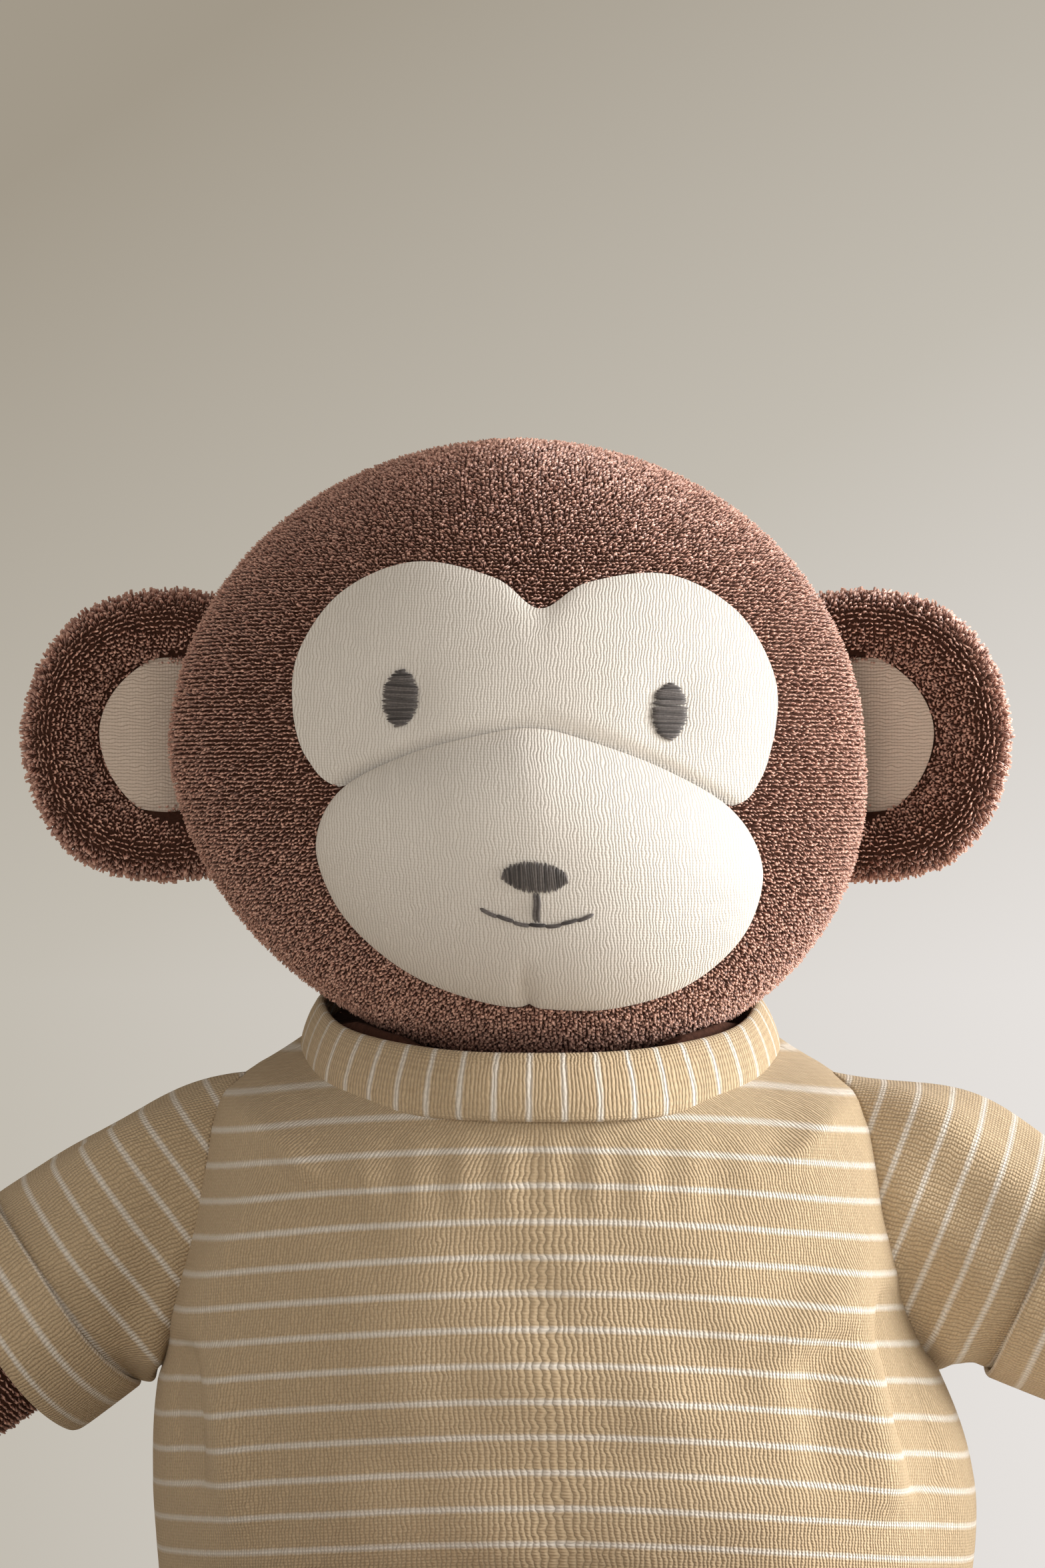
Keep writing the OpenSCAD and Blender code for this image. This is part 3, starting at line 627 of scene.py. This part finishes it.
# A point of an ear from its (r, y) section: u runs round it, v from its front to its back
def earPlace(side):
    def place(u, v):
        ring = alongLoop(ear["outline"], u)
        r, y = along(ear["front"], v * (len(ear["front"]) - 1)).T
        middle = np.array(ear["middle"], float)
        x, z = (middle + (ring - middle) * r[..., None]).T
        cup = earCup(x) + ear["dish"] * (1 - ease(x, 58, 78)) * (v < 0.3)
        world = np.stack([side * x, 10 + y + cup, z], -1)
        return world + headAt
    return place


def makeEar(side, name):
    place = earPlace(side)
    turned = place if side > 0 else (lambda u, v: place(1 - u, v))
    skin = cloth(name + "EarSkin", lambda u, v: turned(u, v), 72, 60, groundTerry)

    def outside(points):
        p = points - headAt
        x, z = p[:, 0] * side, p[:, 2]
        front = p[:, 1] < 10 + earCup(x)
        return (x > 62) & ~(front & inside(x, z, ear["lining"], 0.0))

    def fringe(points):
        p = points - headAt
        return 1 + 0.6 * ease(np.hypot(p[:, 0] * side - 70, p[:, 2] - 4), 22, 29)
    loops = terry(name + "EarPile", turned, 0.95, 20 + side, outside, fringe)

    def liningSpot(u, v):
        middle = np.array([68.0, 4.5])
        return (middle + (alongLoop(ear["lining"], u) - middle) * v[..., None]).T

    def liningPlace(u, v):
        x, z = liningSpot(u, v)
        sink = 0.2 - 1.2 * (1 - v ** 4) + ear["dish"] * (1 - ease(x, 58, 78))
        return np.stack([side * x, 10 + earCup(x) + sink - 1.1 * v ** 2, z], -1) + headAt

    def uvs(u, v):
        x, z = liningSpot(u, v)
        return z, x
    lining = cloth(name + "EarLining", liningPlace, 96, 24, liningJersey, uvs)
    return skin, loops, lining


body = dict(
    rows=[(0, 56, 13, 42), (4, 66, 16, 49), (14, 73, 17, 52), (30, 76.5, 18, 54), (50, 78.5, 19, 54),
          (56, 78.5, 26, 54), (59, 78.5, 42, 53.5), (66, 78.5, 51, 53), (80, 77.5, 54, 51.5),
          (101, 74, 53, 48.5), (122, 69.5, 49, 45), (140, 65.5, 45.5, 42.5), (151, 61.5, 43, 41),
          (157, 56, 42, 40.5), (160, 49, 40, 39.5)],
    neckline=[(0, -3), (0.5, -3.4), (0.54, -6), (0.3, -20), (0.2, -44)],
    hang=62, straight=(78.5, 51, 54), square=0.84, tilt=math.tan(math.radians(14)))
body["shirtRows"] = body["rows"][:7] + [
    (66, 78.5, 51, 53), (80, 78, 54, 51.5), (101, 75.6, 53, 48.5), (122, 71, 49.5, 45),
    (140, 68, 47.5, 43.5), (151, 65.4, 46, 43.5), (158, 61.5, 44.6, 43), (162, 56, 43.8, 42.6),
    (165, 49.5, 43.2, 42.4), (167, 45, 43, 42.2)]
shirt = dict(off=2.3, hem=41, dip=17, top=167, thick=1.0)


# The body stands a little to its left lower down
def bodyLean(z):
    return 4.5 * ease(-z, -125, -55)


# A point of the torso: turn is 0 at +X and 270 degrees at the front
def torsoAt(turn, z, off=0.0, straight=False):
    wide, front, back = rowsAt(body["shirtRows" if straight else "rows"], z)[..., 1:].T
    if straight:
        low = z < body["hang"]
        plumb = body["straight"]
        blendIn = ease(z, body["hang"] - 2, body["hang"] + 6)
        wide, front, back = (np.where(low, s, s + (w - s) * blendIn)
                             for w, s in zip((wide, front, back), plumb))
    power = body["square"] + (1 - body["square"]) * ease(z, 150, 163)
    c, s = signedPower(np.cos(turn), power), signedPower(np.sin(turn), power)
    deep = np.where(s > 0, back, front)
    x, y = (wide + off) * c, (deep + off) * s
    rise = body["tilt"] * y * ease(z, 110, 158) + 3 * np.maximum(0, -s) ** 2 * ease(z, 120, 158)
    return np.stack([x + bodyLean(z), y, z + rise * (1 - 0.8 * ease(np.abs(x), 42, 62))], -1)


# The terry inside the collar stands higher at the two sides of the chin
def neckSwell(turn):
    front = -np.sin(turn)
    return 1 + 0.85 * np.clip(2.2 * front, 0, 1) * (1 - ease(front, 0.7, 0.92))


def makeTorso():
    def place(u, v):
        turn = u * 2 * math.pi
        height = np.clip((v - 0.06) / 0.8, 0, 1)
        side = torsoAt(turn, 1 + 159 * height, -0.6) * (np.stack([v, v, v * 0 + 0.06], -1) / 0.06).clip(0,
                                                                                                        1)
        share, off = along(body["neckline"], np.clip((v - 0.86) / 0.14, 0, 1) * 4).T
        return np.where((v <= 0.86)[..., None], side, collarPoint(turn, share * neckSwell(turn), off))
    skin = cloth("torsoSkin", place, 96, 100, groundTerry)

    def lower(u, v):
        return torsoAt(u * 2 * math.pi, 1 + v * 60, -0.2)
    loops = terry("torsoPile", lower, 1.7, 30)

    def upper(u, v):
        turn = u * 2 * math.pi
        return collarPoint(turn, (0.32 + 0.22 * v) * neckSwell(turn), -2.8 - 3 * v)
    return skin, loops, terry("necklinePile", upper, 1.2, 31)


# The folds of the shirt's front: from, to (x, z), width and height
folds = [
    ((-60, 158), (-44, 150), 4, 1.6), ((62, 158), (44, 148), 4, 1.6), ((-58, 148), (-36, 142), 5, -1.2),
    ((58, 150), (34, 146), 5, -1.2), ((-68, 112), (-56, 134), 5, 2.4), ((-62, 104), (-58, 76), 4, 2.4),
    ((-69, 106), (-67, 82), 2.8, -3.4), ((-75, 98), (-75, 60), 3.5, 1.8),
    ((62, 126), (44, 104), 5, 2.4), ((60, 112), (66, 80), 4.5, 3.4), ((67, 116), (74, 82), 3, -4.2),
    ((52, 104), (54, 84), 4, -1.4), ((79, 100), (84, 58), 4.5, 4.6), ((66, 118), (38, 112), 5, 1.8),
    ((64, 110), (30, 102), 6, -1.3), ((68, 84), (30, 76), 6, 1.6), ((-50, 126), (-10, 120), 9, 0.9),
    ((50, 136), (10, 126), 9, 0.9), ((-20, 106), (34, 100), 9, 0.8), ((-48, 90), (10, 84), 8, -0.9),
    ((0, 92), (50, 84), 7, -0.8), ((-34, 70), (30, 66), 8, 0.9), ((-60, 66), (-20, 62), 6, 1.2),
]


def shirtOff(x, z):
    off = shirt["off"] + 0.25 * np.sin(x * 0.23 + z * 0.05) * np.sin(z * 0.11 + x * 0.02)
    for start, stop, width, height in folds:
        off = np.maximum(1.0, off + height * ridge(x, z, start, stop, width))
    gather = 0.3 * np.sin(np.arctan2(x, 60) * 46) * ease(z, 138, 152)
    return shirt["off"] + (off + gather - shirt["off"]) * (1 - ease(z, 154, 162))


def shirtPanel(name, start, stop, across, down):
    def place(u, v):
        turn = np.radians(start + (stop - start) * u)
        hem = shirt["hem"] - shirt["dip"] * np.sin(turn)
        z = hem + (shirt["top"] - hem) * v
        flat = torsoAt(turn, z, 0.0, True)
        frontward = np.sin(turn) < 0.05
        off = np.where(frontward, shirtOff(flat[..., 0], z),
                       shirt["off"] + 0.5 * np.sin(turn * 23) * (1 - v))
        return torsoAt(turn, z, off, True)

    def uvs(u, v):
        x, _, z = place(u, v).T
        return 68 * np.radians(start + (stop - start) * u), z + 6 * (x / 72) ** 2
    return cloth(name, place, across, down, shirtJersey, uvs, thick=shirt["thick"])


arm = dict(
    rows=[(-16.2, .02), (-14.5, .53), (-10.2, .8), (-5.1, .95), (0, 1), (20, 1), (45, .96), (70.8, .87),
          (85, .93),
          (100, 1.02), (111, .86), (116, .5), (117.5, 0.02)],
    radius=17, drop={1: math.radians(22), -1: math.radians(37)}, holeZ=30, holeY=17)
cuff = dict(start=22.5, stop=39.5, radius=25.2)


# The arm's own directions: back, up and along it
def armAxes(side):
    drop = arm["drop"][side]
    run = np.array([side * math.cos(drop), 0, -math.sin(drop)])
    back = np.array([0, 1.0, 0])
    return back, np.cross(run, back), run


def armPoint(side, s, radius, turn):
    back, up, run = armAxes(side)
    root = jointAt("left_arm_lift" if side > 0 else "right_arm_lift")
    ring = np.cos(turn)[..., None] * back + np.sin(turn)[..., None] * up
    return root + s[..., None] * run + radius[..., None] * ring


def makeArm(side, name):
    def place(u, v):
        s, share = rowsAt(arm["rows"], -16.2 + 133.7 * v).T
        return armPoint(side, s, share * arm["radius"], u * 2 * math.pi)

    def free(u, v):
        return place(u, 0.28 + 0.72 * v)
    skin = cloth(name + "ArmSkin", place, 40, 60, groundTerry)
    loops = terry(name + "ArmPile", free, 1.15, 40 + side)
    return skin, loops


# Both ends of a sleeve's radius in the cuff, and the height of its hole in the shirt
sleeve = dict(height=131, radius=(23.2, 22.8), thick=0.9)


# The seam of a sleeve, round its hole in the side of the shirt
def sleeveRoot(side, turn):
    z = sleeve["height"] + arm["holeZ"] * np.sin(turn)
    wide, front, back = rowsAt(body["shirtRows"], z)[..., 1:].T
    y = arm["holeY"] * np.cos(turn)
    share = (np.abs(y) / np.where(y > 0, back, front)) ** (1 / body["square"])
    x = (wide + shirt["off"] - 0.4) * (1 - share ** 2) ** (body["square"] / 2)
    return np.stack([side * x + bodyLean(z), y, z], -1)


def makeSleeve(side, name):
    sign = 1 if armAxes(side)[1][2] > 0 else -1  # the arm ring's up direction points down on one side

    def place(u, v):
        turn = u * 2 * math.pi * sign
        root = sleeveRoot(side, turn * sign)
        end = armPoint(side, np.full_like(u, cuff["start"] + 1), np.full_like(u, sleeve["radius"][0]), turn)
        deep = armPoint(side, np.full_like(u, cuff["stop"] - 1), np.full_like(u, sleeve["radius"][1]), turn)
        w = np.clip(v / 0.7, 0, 1)
        curve = w ** 1.1
        flat = root * (1 - curve)[..., None] + end * curve[..., None]
        rest = np.clip((v - 0.7) / 0.3, 0, 1)[..., None]
        out = armPoint(side, np.zeros_like(u), np.ones_like(u), turn) - armPoint(side, u * 0, u * 0, turn)
        top = np.clip(np.sin(turn * sign), 0, 1)
        puff = np.sin(math.pi * np.clip(w, 0, 1)) * (0.6 + 3.2 * top)
        wave = (1.3 * np.sin(3 * turn + 5 * w) + 0.7 * np.sin(7 * turn - 4 * w)) * np.sin(math.pi * w)
        return flat * (1 - rest) + deep * rest + (puff + wave)[..., None] * out

    def uvs(u, v):
        reach = (place(u, v) - jointAt(name + "_arm_lift")) @ armAxes(side)[2]
        return u * 150, reach + 1.2
    return cloth(name + "Sleeve", place, 96, 48, shirtJersey, uvs, thick=sleeve["thick"])


def makeCuff(side, name):
    r, start, stop = cuff["radius"], cuff["start"], cuff["stop"]
    profile = [(start + 14, r - 1.7), (start + 2.5, r - 1.6), (start + 0.5, r - 1.1), (start, r - 0.3),
               (start + 0.6, r + 0.4), (start + 2.5, r + 0.5), (start + 9, r + 0.5), (stop - 2.5, r + 0.4),
               (stop - 0.5, r - 0.1), (stop, r - 0.9), (stop - 0.8, r - 1.9), (stop - 4, r - 2.3),
               (start + 14, r - 2.2), (start + 14, r - 1.7)]
    lengths = lengthAlong(profile)

    def place(u, v):
        s, radius = along(profile, v * (len(profile) - 1)).T
        turn = u * 2 * math.pi
        wave = 0.5 * np.sin(2 * turn + 1) + 0.3 * np.sin(5 * turn)
        return armPoint(side, s + 0.5 * np.sin(3 * turn), radius + wave * 0.6, turn)

    def uvs(u, v):
        return u * 155, np.interp(v * (len(profile) - 1), np.arange(len(profile)), lengths) + 2.4
    return cloth(name + "Cuff", place, 96, 48, shirtJersey, uvs)


collar = dict(
    rows=[(0, 49), (0.35, 48.8), (0.7, 47.4), (1, 45.8)], z=163, tall=11.5, dip=0.009, lift=3)


def collarPoint(turn, share, off):
    radius = rowsAt(collar["rows"], share)[..., 1] + off - 0.4
    x, y = radius * np.cos(turn), (radius - 0.2 - 0.6 * share) * np.sin(turn)
    z = collar["z"] + share * collar["tall"] * (1 - collar["dip"] * np.maximum(0, y)) + body["tilt"] * y
    z = z + collar["lift"] * np.maximum(0, -np.sin(turn)) ** 2 + 1.2 * share * np.abs(np.cos(turn)) ** 3
    return np.stack([x, y, z], -1)


def makeCollar():
    profile = [(0, -2.0), (0.3, -2.1), (0.8, -2.1), (0.97, -1.8), (1.02, -0.9), (0.97, 0), (0.8, 0.35),
               (0.4, 0.45), (0.06, 0.35), (-0.03, -0.2), (-0.06, -1.2), (0, -2.0)]

    def place(u, v):
        share, off = along(profile, v * (len(profile) - 1)).T
        turn = u * 2 * math.pi
        off = off + 0.3 * np.sin(turn * 5 + 1) * (1 - share) + 0.2 * np.sin(turn * 9)
        return collarPoint(turn, share, off)

    def uvs(u, v):
        return u * 2 * math.pi * 48, v * 24
    return cloth("collarBand", place, 160, 36, collarJersey, uvs)


neck = dict(radius=23.5, middle=-4, low=149.5, tall=12)


def makeNeck():
    def place(u, v):
        turn = u * 2 * math.pi
        return np.stack([neck["radius"] * np.cos(turn), neck["middle"] + neck["radius"] * np.sin(turn),
                         neck["low"] + neck["tall"] * v], -1)
    return cloth("neckTube", place, 48, 6, groundTerry)


# The tapes and the placket of the back opening, between two angles round the body
backOpening = dict(low=100, top=158, thick=0.7)


def backStrip(name, low, high, off, material):
    def place(u, v):
        turn = np.radians(low + (high - low) * u)
        z = backOpening["low"] + (backOpening["top"] - backOpening["low"]) * v
        return torsoAt(turn, z, off + 0.15 * np.sin(v * 40), True)

    def uvs(u, v):
        return u * 14, v * 60
    return cloth(name, place, 12, 40, material, uvs, thick=backOpening["thick"])


# Along a leg from its root: half width, and how far it reaches down and up
leg = dict(
    rows=[(-33, 0.3, 0.3, 0.3), (-31, 12, 12, 12), (-24, 19, 19, 19), (-14, 22, 22, 22),
          (-4, 24.5, 24.5, 24.5), (10, 25, 25, 25), (25, 24.3, 25, 24), (55, 22, 24.8, 20),
          (82, 20.5, 24.3, 17.5), (97, 21.5, 24.5, 24), (109, 24, 24.8, 35), (120, 25.2, 25, 41.5),
          (130, 25, 24.8, 42.5), (137, 23, 23.4, 40.5), (139.4, 18, 18, 33), (140, 0.2, 0.2, 8)],
    splay=math.radians(7))


sole = dict(wide=21.5, tall=30.5, middle=8.5)


def legPoint(side, s, wide, below, above, turn):
    splay = leg["splay"]
    run = np.array([side * math.sin(splay), -math.cos(splay), 0])
    across = np.array([math.cos(splay), side * math.sin(splay), 0])
    root = jointAt("left_leg_swing" if side > 0 else "right_leg_swing")
    tall = np.where(np.sin(turn) > 0, above, below)
    return (root + s[..., None] * run + (wide * np.cos(turn))[..., None] * across
            + (tall * np.sin(turn))[..., None] * np.array([0, 0, 1.0]))


def makeLeg(side, name):
    def place(u, v, sink=0.0):
        s, wide, below, above = along(leg["rows"], v * (len(leg["rows"]) - 1)).T
        return legPoint(side, s, wide - sink, below - 1.5 * sink, above - sink, u * 2 * math.pi)
    skin = cloth(name + "LegSkin", lambda u, v: place(u, v, 0.4), 48, 72, groundTerry)
    solePlan = (len(leg["rows"]) - 2.5) / (len(leg["rows"]) - 1)
    loops = terry(name + "LegPile", lambda u, v: place(u, v * solePlan), 1.5, 50 + side)

    def solePlace(u, v):
        turn = u * 2 * math.pi
        share = v ** 0.7
        s = 139.3 + 2.3 * (1 - v ** 2)
        point = legPoint(side, s, sole["wide"] * share, np.zeros_like(u), np.zeros_like(u), turn)
        return point + np.stack([u * 0, u * 0, sole["middle"] + sole["tall"] * share * np.sin(turn)], -1)

    def uvs(u, v):
        turn = u * 2 * math.pi
        return sole["wide"] * v ** 0.7 * np.cos(turn), sole["tall"] * v ** 0.7 * np.sin(turn)
    return skin, loops, cloth(name + "FootSole", solePlace, 64, 20, creamJersey, uvs)


tail = dict(radius=9, root=14, straight=14, bend=60, sweep=math.radians(160))


def makeTail():
    root = jointAt("tail_lift")
    total = tail["straight"] + tail["bend"] * tail["sweep"]

    def place(u, v, off=0.0):
        s = v * (total + tail["radius"] * 0.98 + tail["root"]) - tail["root"]
        reached = np.minimum(s, total)
        past = np.clip((s - total) / tail["radius"], 0, 1)
        turned = np.maximum(0, reached - tail["straight"]) / tail["bend"]
        straight = np.minimum(reached, tail["straight"])
        middle = np.stack([tail["bend"] * (1 - np.cos(turned)), straight + tail["bend"] * np.sin(turned),
                           u * 0], -1)
        run = np.stack([np.sin(turned), np.cos(turned), u * 0], -1)
        up = np.array([0, 0, 1.0])
        across = np.cross(run, up)
        turn = (u * 2 * math.pi)[..., None]
        reach = ((tail["radius"] + off) * np.sqrt(np.maximum(0.0004, 1 - past ** 2)))[..., None]
        return (root + middle + run * (past * tail["radius"])[..., None]
                + reach * (up * np.cos(turn) + across * np.sin(turn)))
    skin = cloth("tailSkin", lambda u, v: place(u, v, -0.6), 32, 90, groundTerry)
    loops = terry("tailPile", lambda u, v: place(u, v, -0.2), 1.3, 60)
    return skin, loops


stage = dict(
    camera=(-0.0035, -1.108, 0.2197), lens=124.5,
    key=dict(at=(1.35, -0.16, 0.5), size=0.75, power=35.0, colour="#fffdfb"),
    fill=dict(at=(-0.4, -1.3, 0.3), size=1.2, power=6.2, colour="#f8f4f0"),
    ambient=("#d8cdc0", 0.47))


def makeCamera():
    data = bpy.data.cameras.new("Camera")
    data.lens = stage["lens"]
    camera = bpy.data.objects.new("Camera", data)
    bpy.context.collection.objects.link(camera)
    camera.location = stage["camera"]
    camera.rotation_euler = (math.pi / 2, 0, 0)
    bpy.context.scene.camera = camera


def makeLight(name, lamp):
    data = bpy.data.lights.new(name, "AREA")
    data.size = lamp["size"]
    data.energy = lamp["power"]
    data.color = linear(lamp["colour"])[:3]
    light = bpy.data.objects.new(name, data)
    bpy.context.collection.objects.link(light)
    light.location = lamp["at"]
    aim = Vector((0, 0, 0.18)) - Vector(lamp["at"])
    light.rotation_euler = aim.to_track_quat("-Z", "Y").to_euler()


# Shows a stage surface from its front alone, so that it never hides the toy
def showFront(material, shader):
    side = nodeIn(material, "NewGeometry")
    clear = nodeIn(material, "BsdfTransparent")
    shown = nodeIn(material, "MixShader", {0: side.outputs["Backfacing"], 1: shader, 2: clear})
    material.node_tree.links.new(shown.outputs[0], material.node_tree.nodes["Material Output"].inputs[0])


def stagePlane(name, half, at, upright, material):
    bm = bmesh.new()
    bmesh.ops.create_grid(bm, x_segments=4, y_segments=4, size=half)
    if upright:
        for vert in bm.verts:
            vert.co = (vert.co.x, 0, vert.co.y)
    mesh = bpy.data.meshes.new(name)
    bm.to_mesh(mesh)
    bm.free()
    plane = newObject(name, mesh, material)
    plane.location = at


# A pale wall that glows by itself with painted light: dimmer towards the upper left, brighter to the lower
# right
def makeWall():
    material = bpy.data.materials.new("wallWithPaintedLight")
    material.use_nodes = True
    material.node_tree.nodes.remove(material.node_tree.nodes["Principled BSDF"])
    place = nodeIn(material, "TexCoord")
    split = nodeIn(material, "SeparateXYZ", {0: place.outputs["Object"]})
    # Painted light: brighter to the right and lower down, as if lit by a lamp; the wall glows and is not lit
    # by the lamps
    sideways = nodeIn(material, "Math", {0: split, 1: 1.45, 2: 0.6}, operation="MULTIPLY_ADD")
    low = nodeIn(material, "Math", {0: split.outputs[2], 1: -0.06}, operation="MAXIMUM")
    down = nodeIn(material, "Math", {0: low, 1: -2.1, 2: sideways}, operation="MULTIPLY_ADD")
    ramp = nodeIn(material, "ValToRGB", {0: down})
    stops = ramp.color_ramp.elements
    stops[0].color = linear("#a2998a")
    stops[1].color = linear("#eae6e3")
    middle = stops.new(0.5)
    middle.color = linear("#c3bdb2")
    glow = nodeIn(material, "Emission", {0: ramp, 1: 1.0})
    showFront(material, glow)
    stagePlane("wall", 1.6, (0, 0.5, 0.22), True, material)


# A pale floor that ends short of the wall
def makeFloor():
    material, shader = fabric("mattPaper", 0.9, 0.0, "#ffffff")
    grain = nodeIn(material, "TexNoise", {"Scale": 40.0, "Detail": 4.0})
    mix = nodeIn(material, "Mix", {0: grain, 6: linear("#d8d3cb"), 7: linear("#e4e0d9")},
                 data_type="RGBA")
    material.node_tree.links.new(mix.outputs[2], shader.inputs["Base Color"])
    showFront(material, shader)
    stagePlane("floor", 1, (0, -0.62, -0.001), False, material)


def makeWorld():
    world = bpy.data.worlds.new("room")
    world.use_nodes = True
    back = world.node_tree.nodes["Background"]
    back.inputs[0].default_value = linear(stage["ambient"][0])
    back.inputs[1].default_value = stage["ambient"][1]
    bpy.context.scene.world = world


bpy.context.scene.view_settings.view_transform = "Standard"
makeCamera()
makeWorld()
makeLight("key", stage["key"])
makeLight("fill", stage["fill"])
makeWall()
makeFloor()
print("stage ready")


# Puts a piece on its body, in place of the CAD nodes it shows
def settle(piece, body, slot, *nodes):
    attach(piece, body)
    if nodes:
        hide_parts(*nodes)


headSkin, headLoops = makeHead()
settle(headSkin, "head", "brown_terry", "head_front", "head_back", "head_filling")
for piece in headLoops:
    settle(piece, "head", "brown_terry")
maskPiece, muzzlePiece = makeMask(), makeMuzzle()
settle(maskPiece, "head", "cream_jersey", "face_mask")
settle(muzzlePiece, "head", "cream_jersey", "muzzle_skin", "muzzle_padding")
stitchNodes = ("right_eye", "left_eye", "nose", "mouth_stitches", "philtrum_stitch")
for piece, node in zip(makeStitches(), stitchNodes):
    settle(piece, "head", "charcoal_thread", node)
print("head ready")

for side, name in ((1, "left"), (-1, "right")):
    skin, loops, lining = makeEar(side, name)
    settle(skin, name + "_ear", "brown_terry", name + "_ear_back", name + "_ear_front", name + "_ear_wadding")
    settle(loops, name + "_ear", "brown_terry")
    settle(lining, name + "_ear", "cream_jersey", name + "_ear_lining")
print("ears ready")

torsoPieces = makeTorso()
for piece in torsoPieces:
    settle(piece, "torso", "brown_terry")
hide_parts("torso_skin", "torso_filling")
panels = (("shirtFront", "shirt_front", 180, 360, 200, 110, (0.25, 0.118)),
          ("shirtBackLeft", "shirt_back_left", 0, 88, 80, 80, (0.12, 0.135)),
          ("shirtBackRight", "shirt_back_right", 92, 180, 80, 80, (0.12, 0.135)))
for name, node, start, stop, across, down, flat in panels:
    piece = shirtPanel(name, start, stop, across, down)
    settle(piece, "torso", "striped_jersey", node)
strips = (("loopTape", "loop_tape", 93, 98, 2.6, "tape"), ("hookTape", "hook_tape", 93, 98, 3.6, "tape"),
          ("backPlacket", "back_placket", 83, 99, 4.2, "striped_jersey"))
for name, node, low, high, off, finish in strips:
    piece = backStrip(name, low, high, off, tapeJersey)
    settle(piece, "torso", finish, node)
collarPiece = makeCollar()
settle(collarPiece, "torso", "striped_rib", "collar_band")
neckPiece = makeNeck()
settle(neckPiece, "neck", "brown_terry", "neck_tube", "neck_filling")
print("torso and shirt ready")

for side, name in ((1, "left"), (-1, "right")):
    skin, loops = makeArm(side, name)
    settle(skin, name + "_arm", "brown_terry", name + "_arm_skin", name + "_arm_filling")
    settle(loops, name + "_arm", "brown_terry")
    sleevePiece = makeSleeve(side, name)
    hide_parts(name + "_sleeve")
    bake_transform(sleevePiece)
    cuffPiece = makeCuff(side, name)
    settle(cuffPiece, name + "_arm", "striped_jersey", name + "_cuff")
print("arms ready")

for side, name in ((1, "left"), (-1, "right")):
    skin, loops, solePiece = makeLeg(side, name)
    settle(skin, name + "_leg", "brown_terry", name + "_leg_skin", name + "_leg_filling")
    settle(loops, name + "_leg", "brown_terry")
    settle(solePiece, name + "_leg", "cream_jersey", name + "_foot_sole")
tailSkin, tailLoops = makeTail()
for piece in (tailSkin, tailLoops):
    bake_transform(piece)
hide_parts("tail_skin", "tail_filling")
print("legs and tail ready")

for slot in frame["nodes"]["seat_panel"].material_slots:
    slot.material = groundTerry
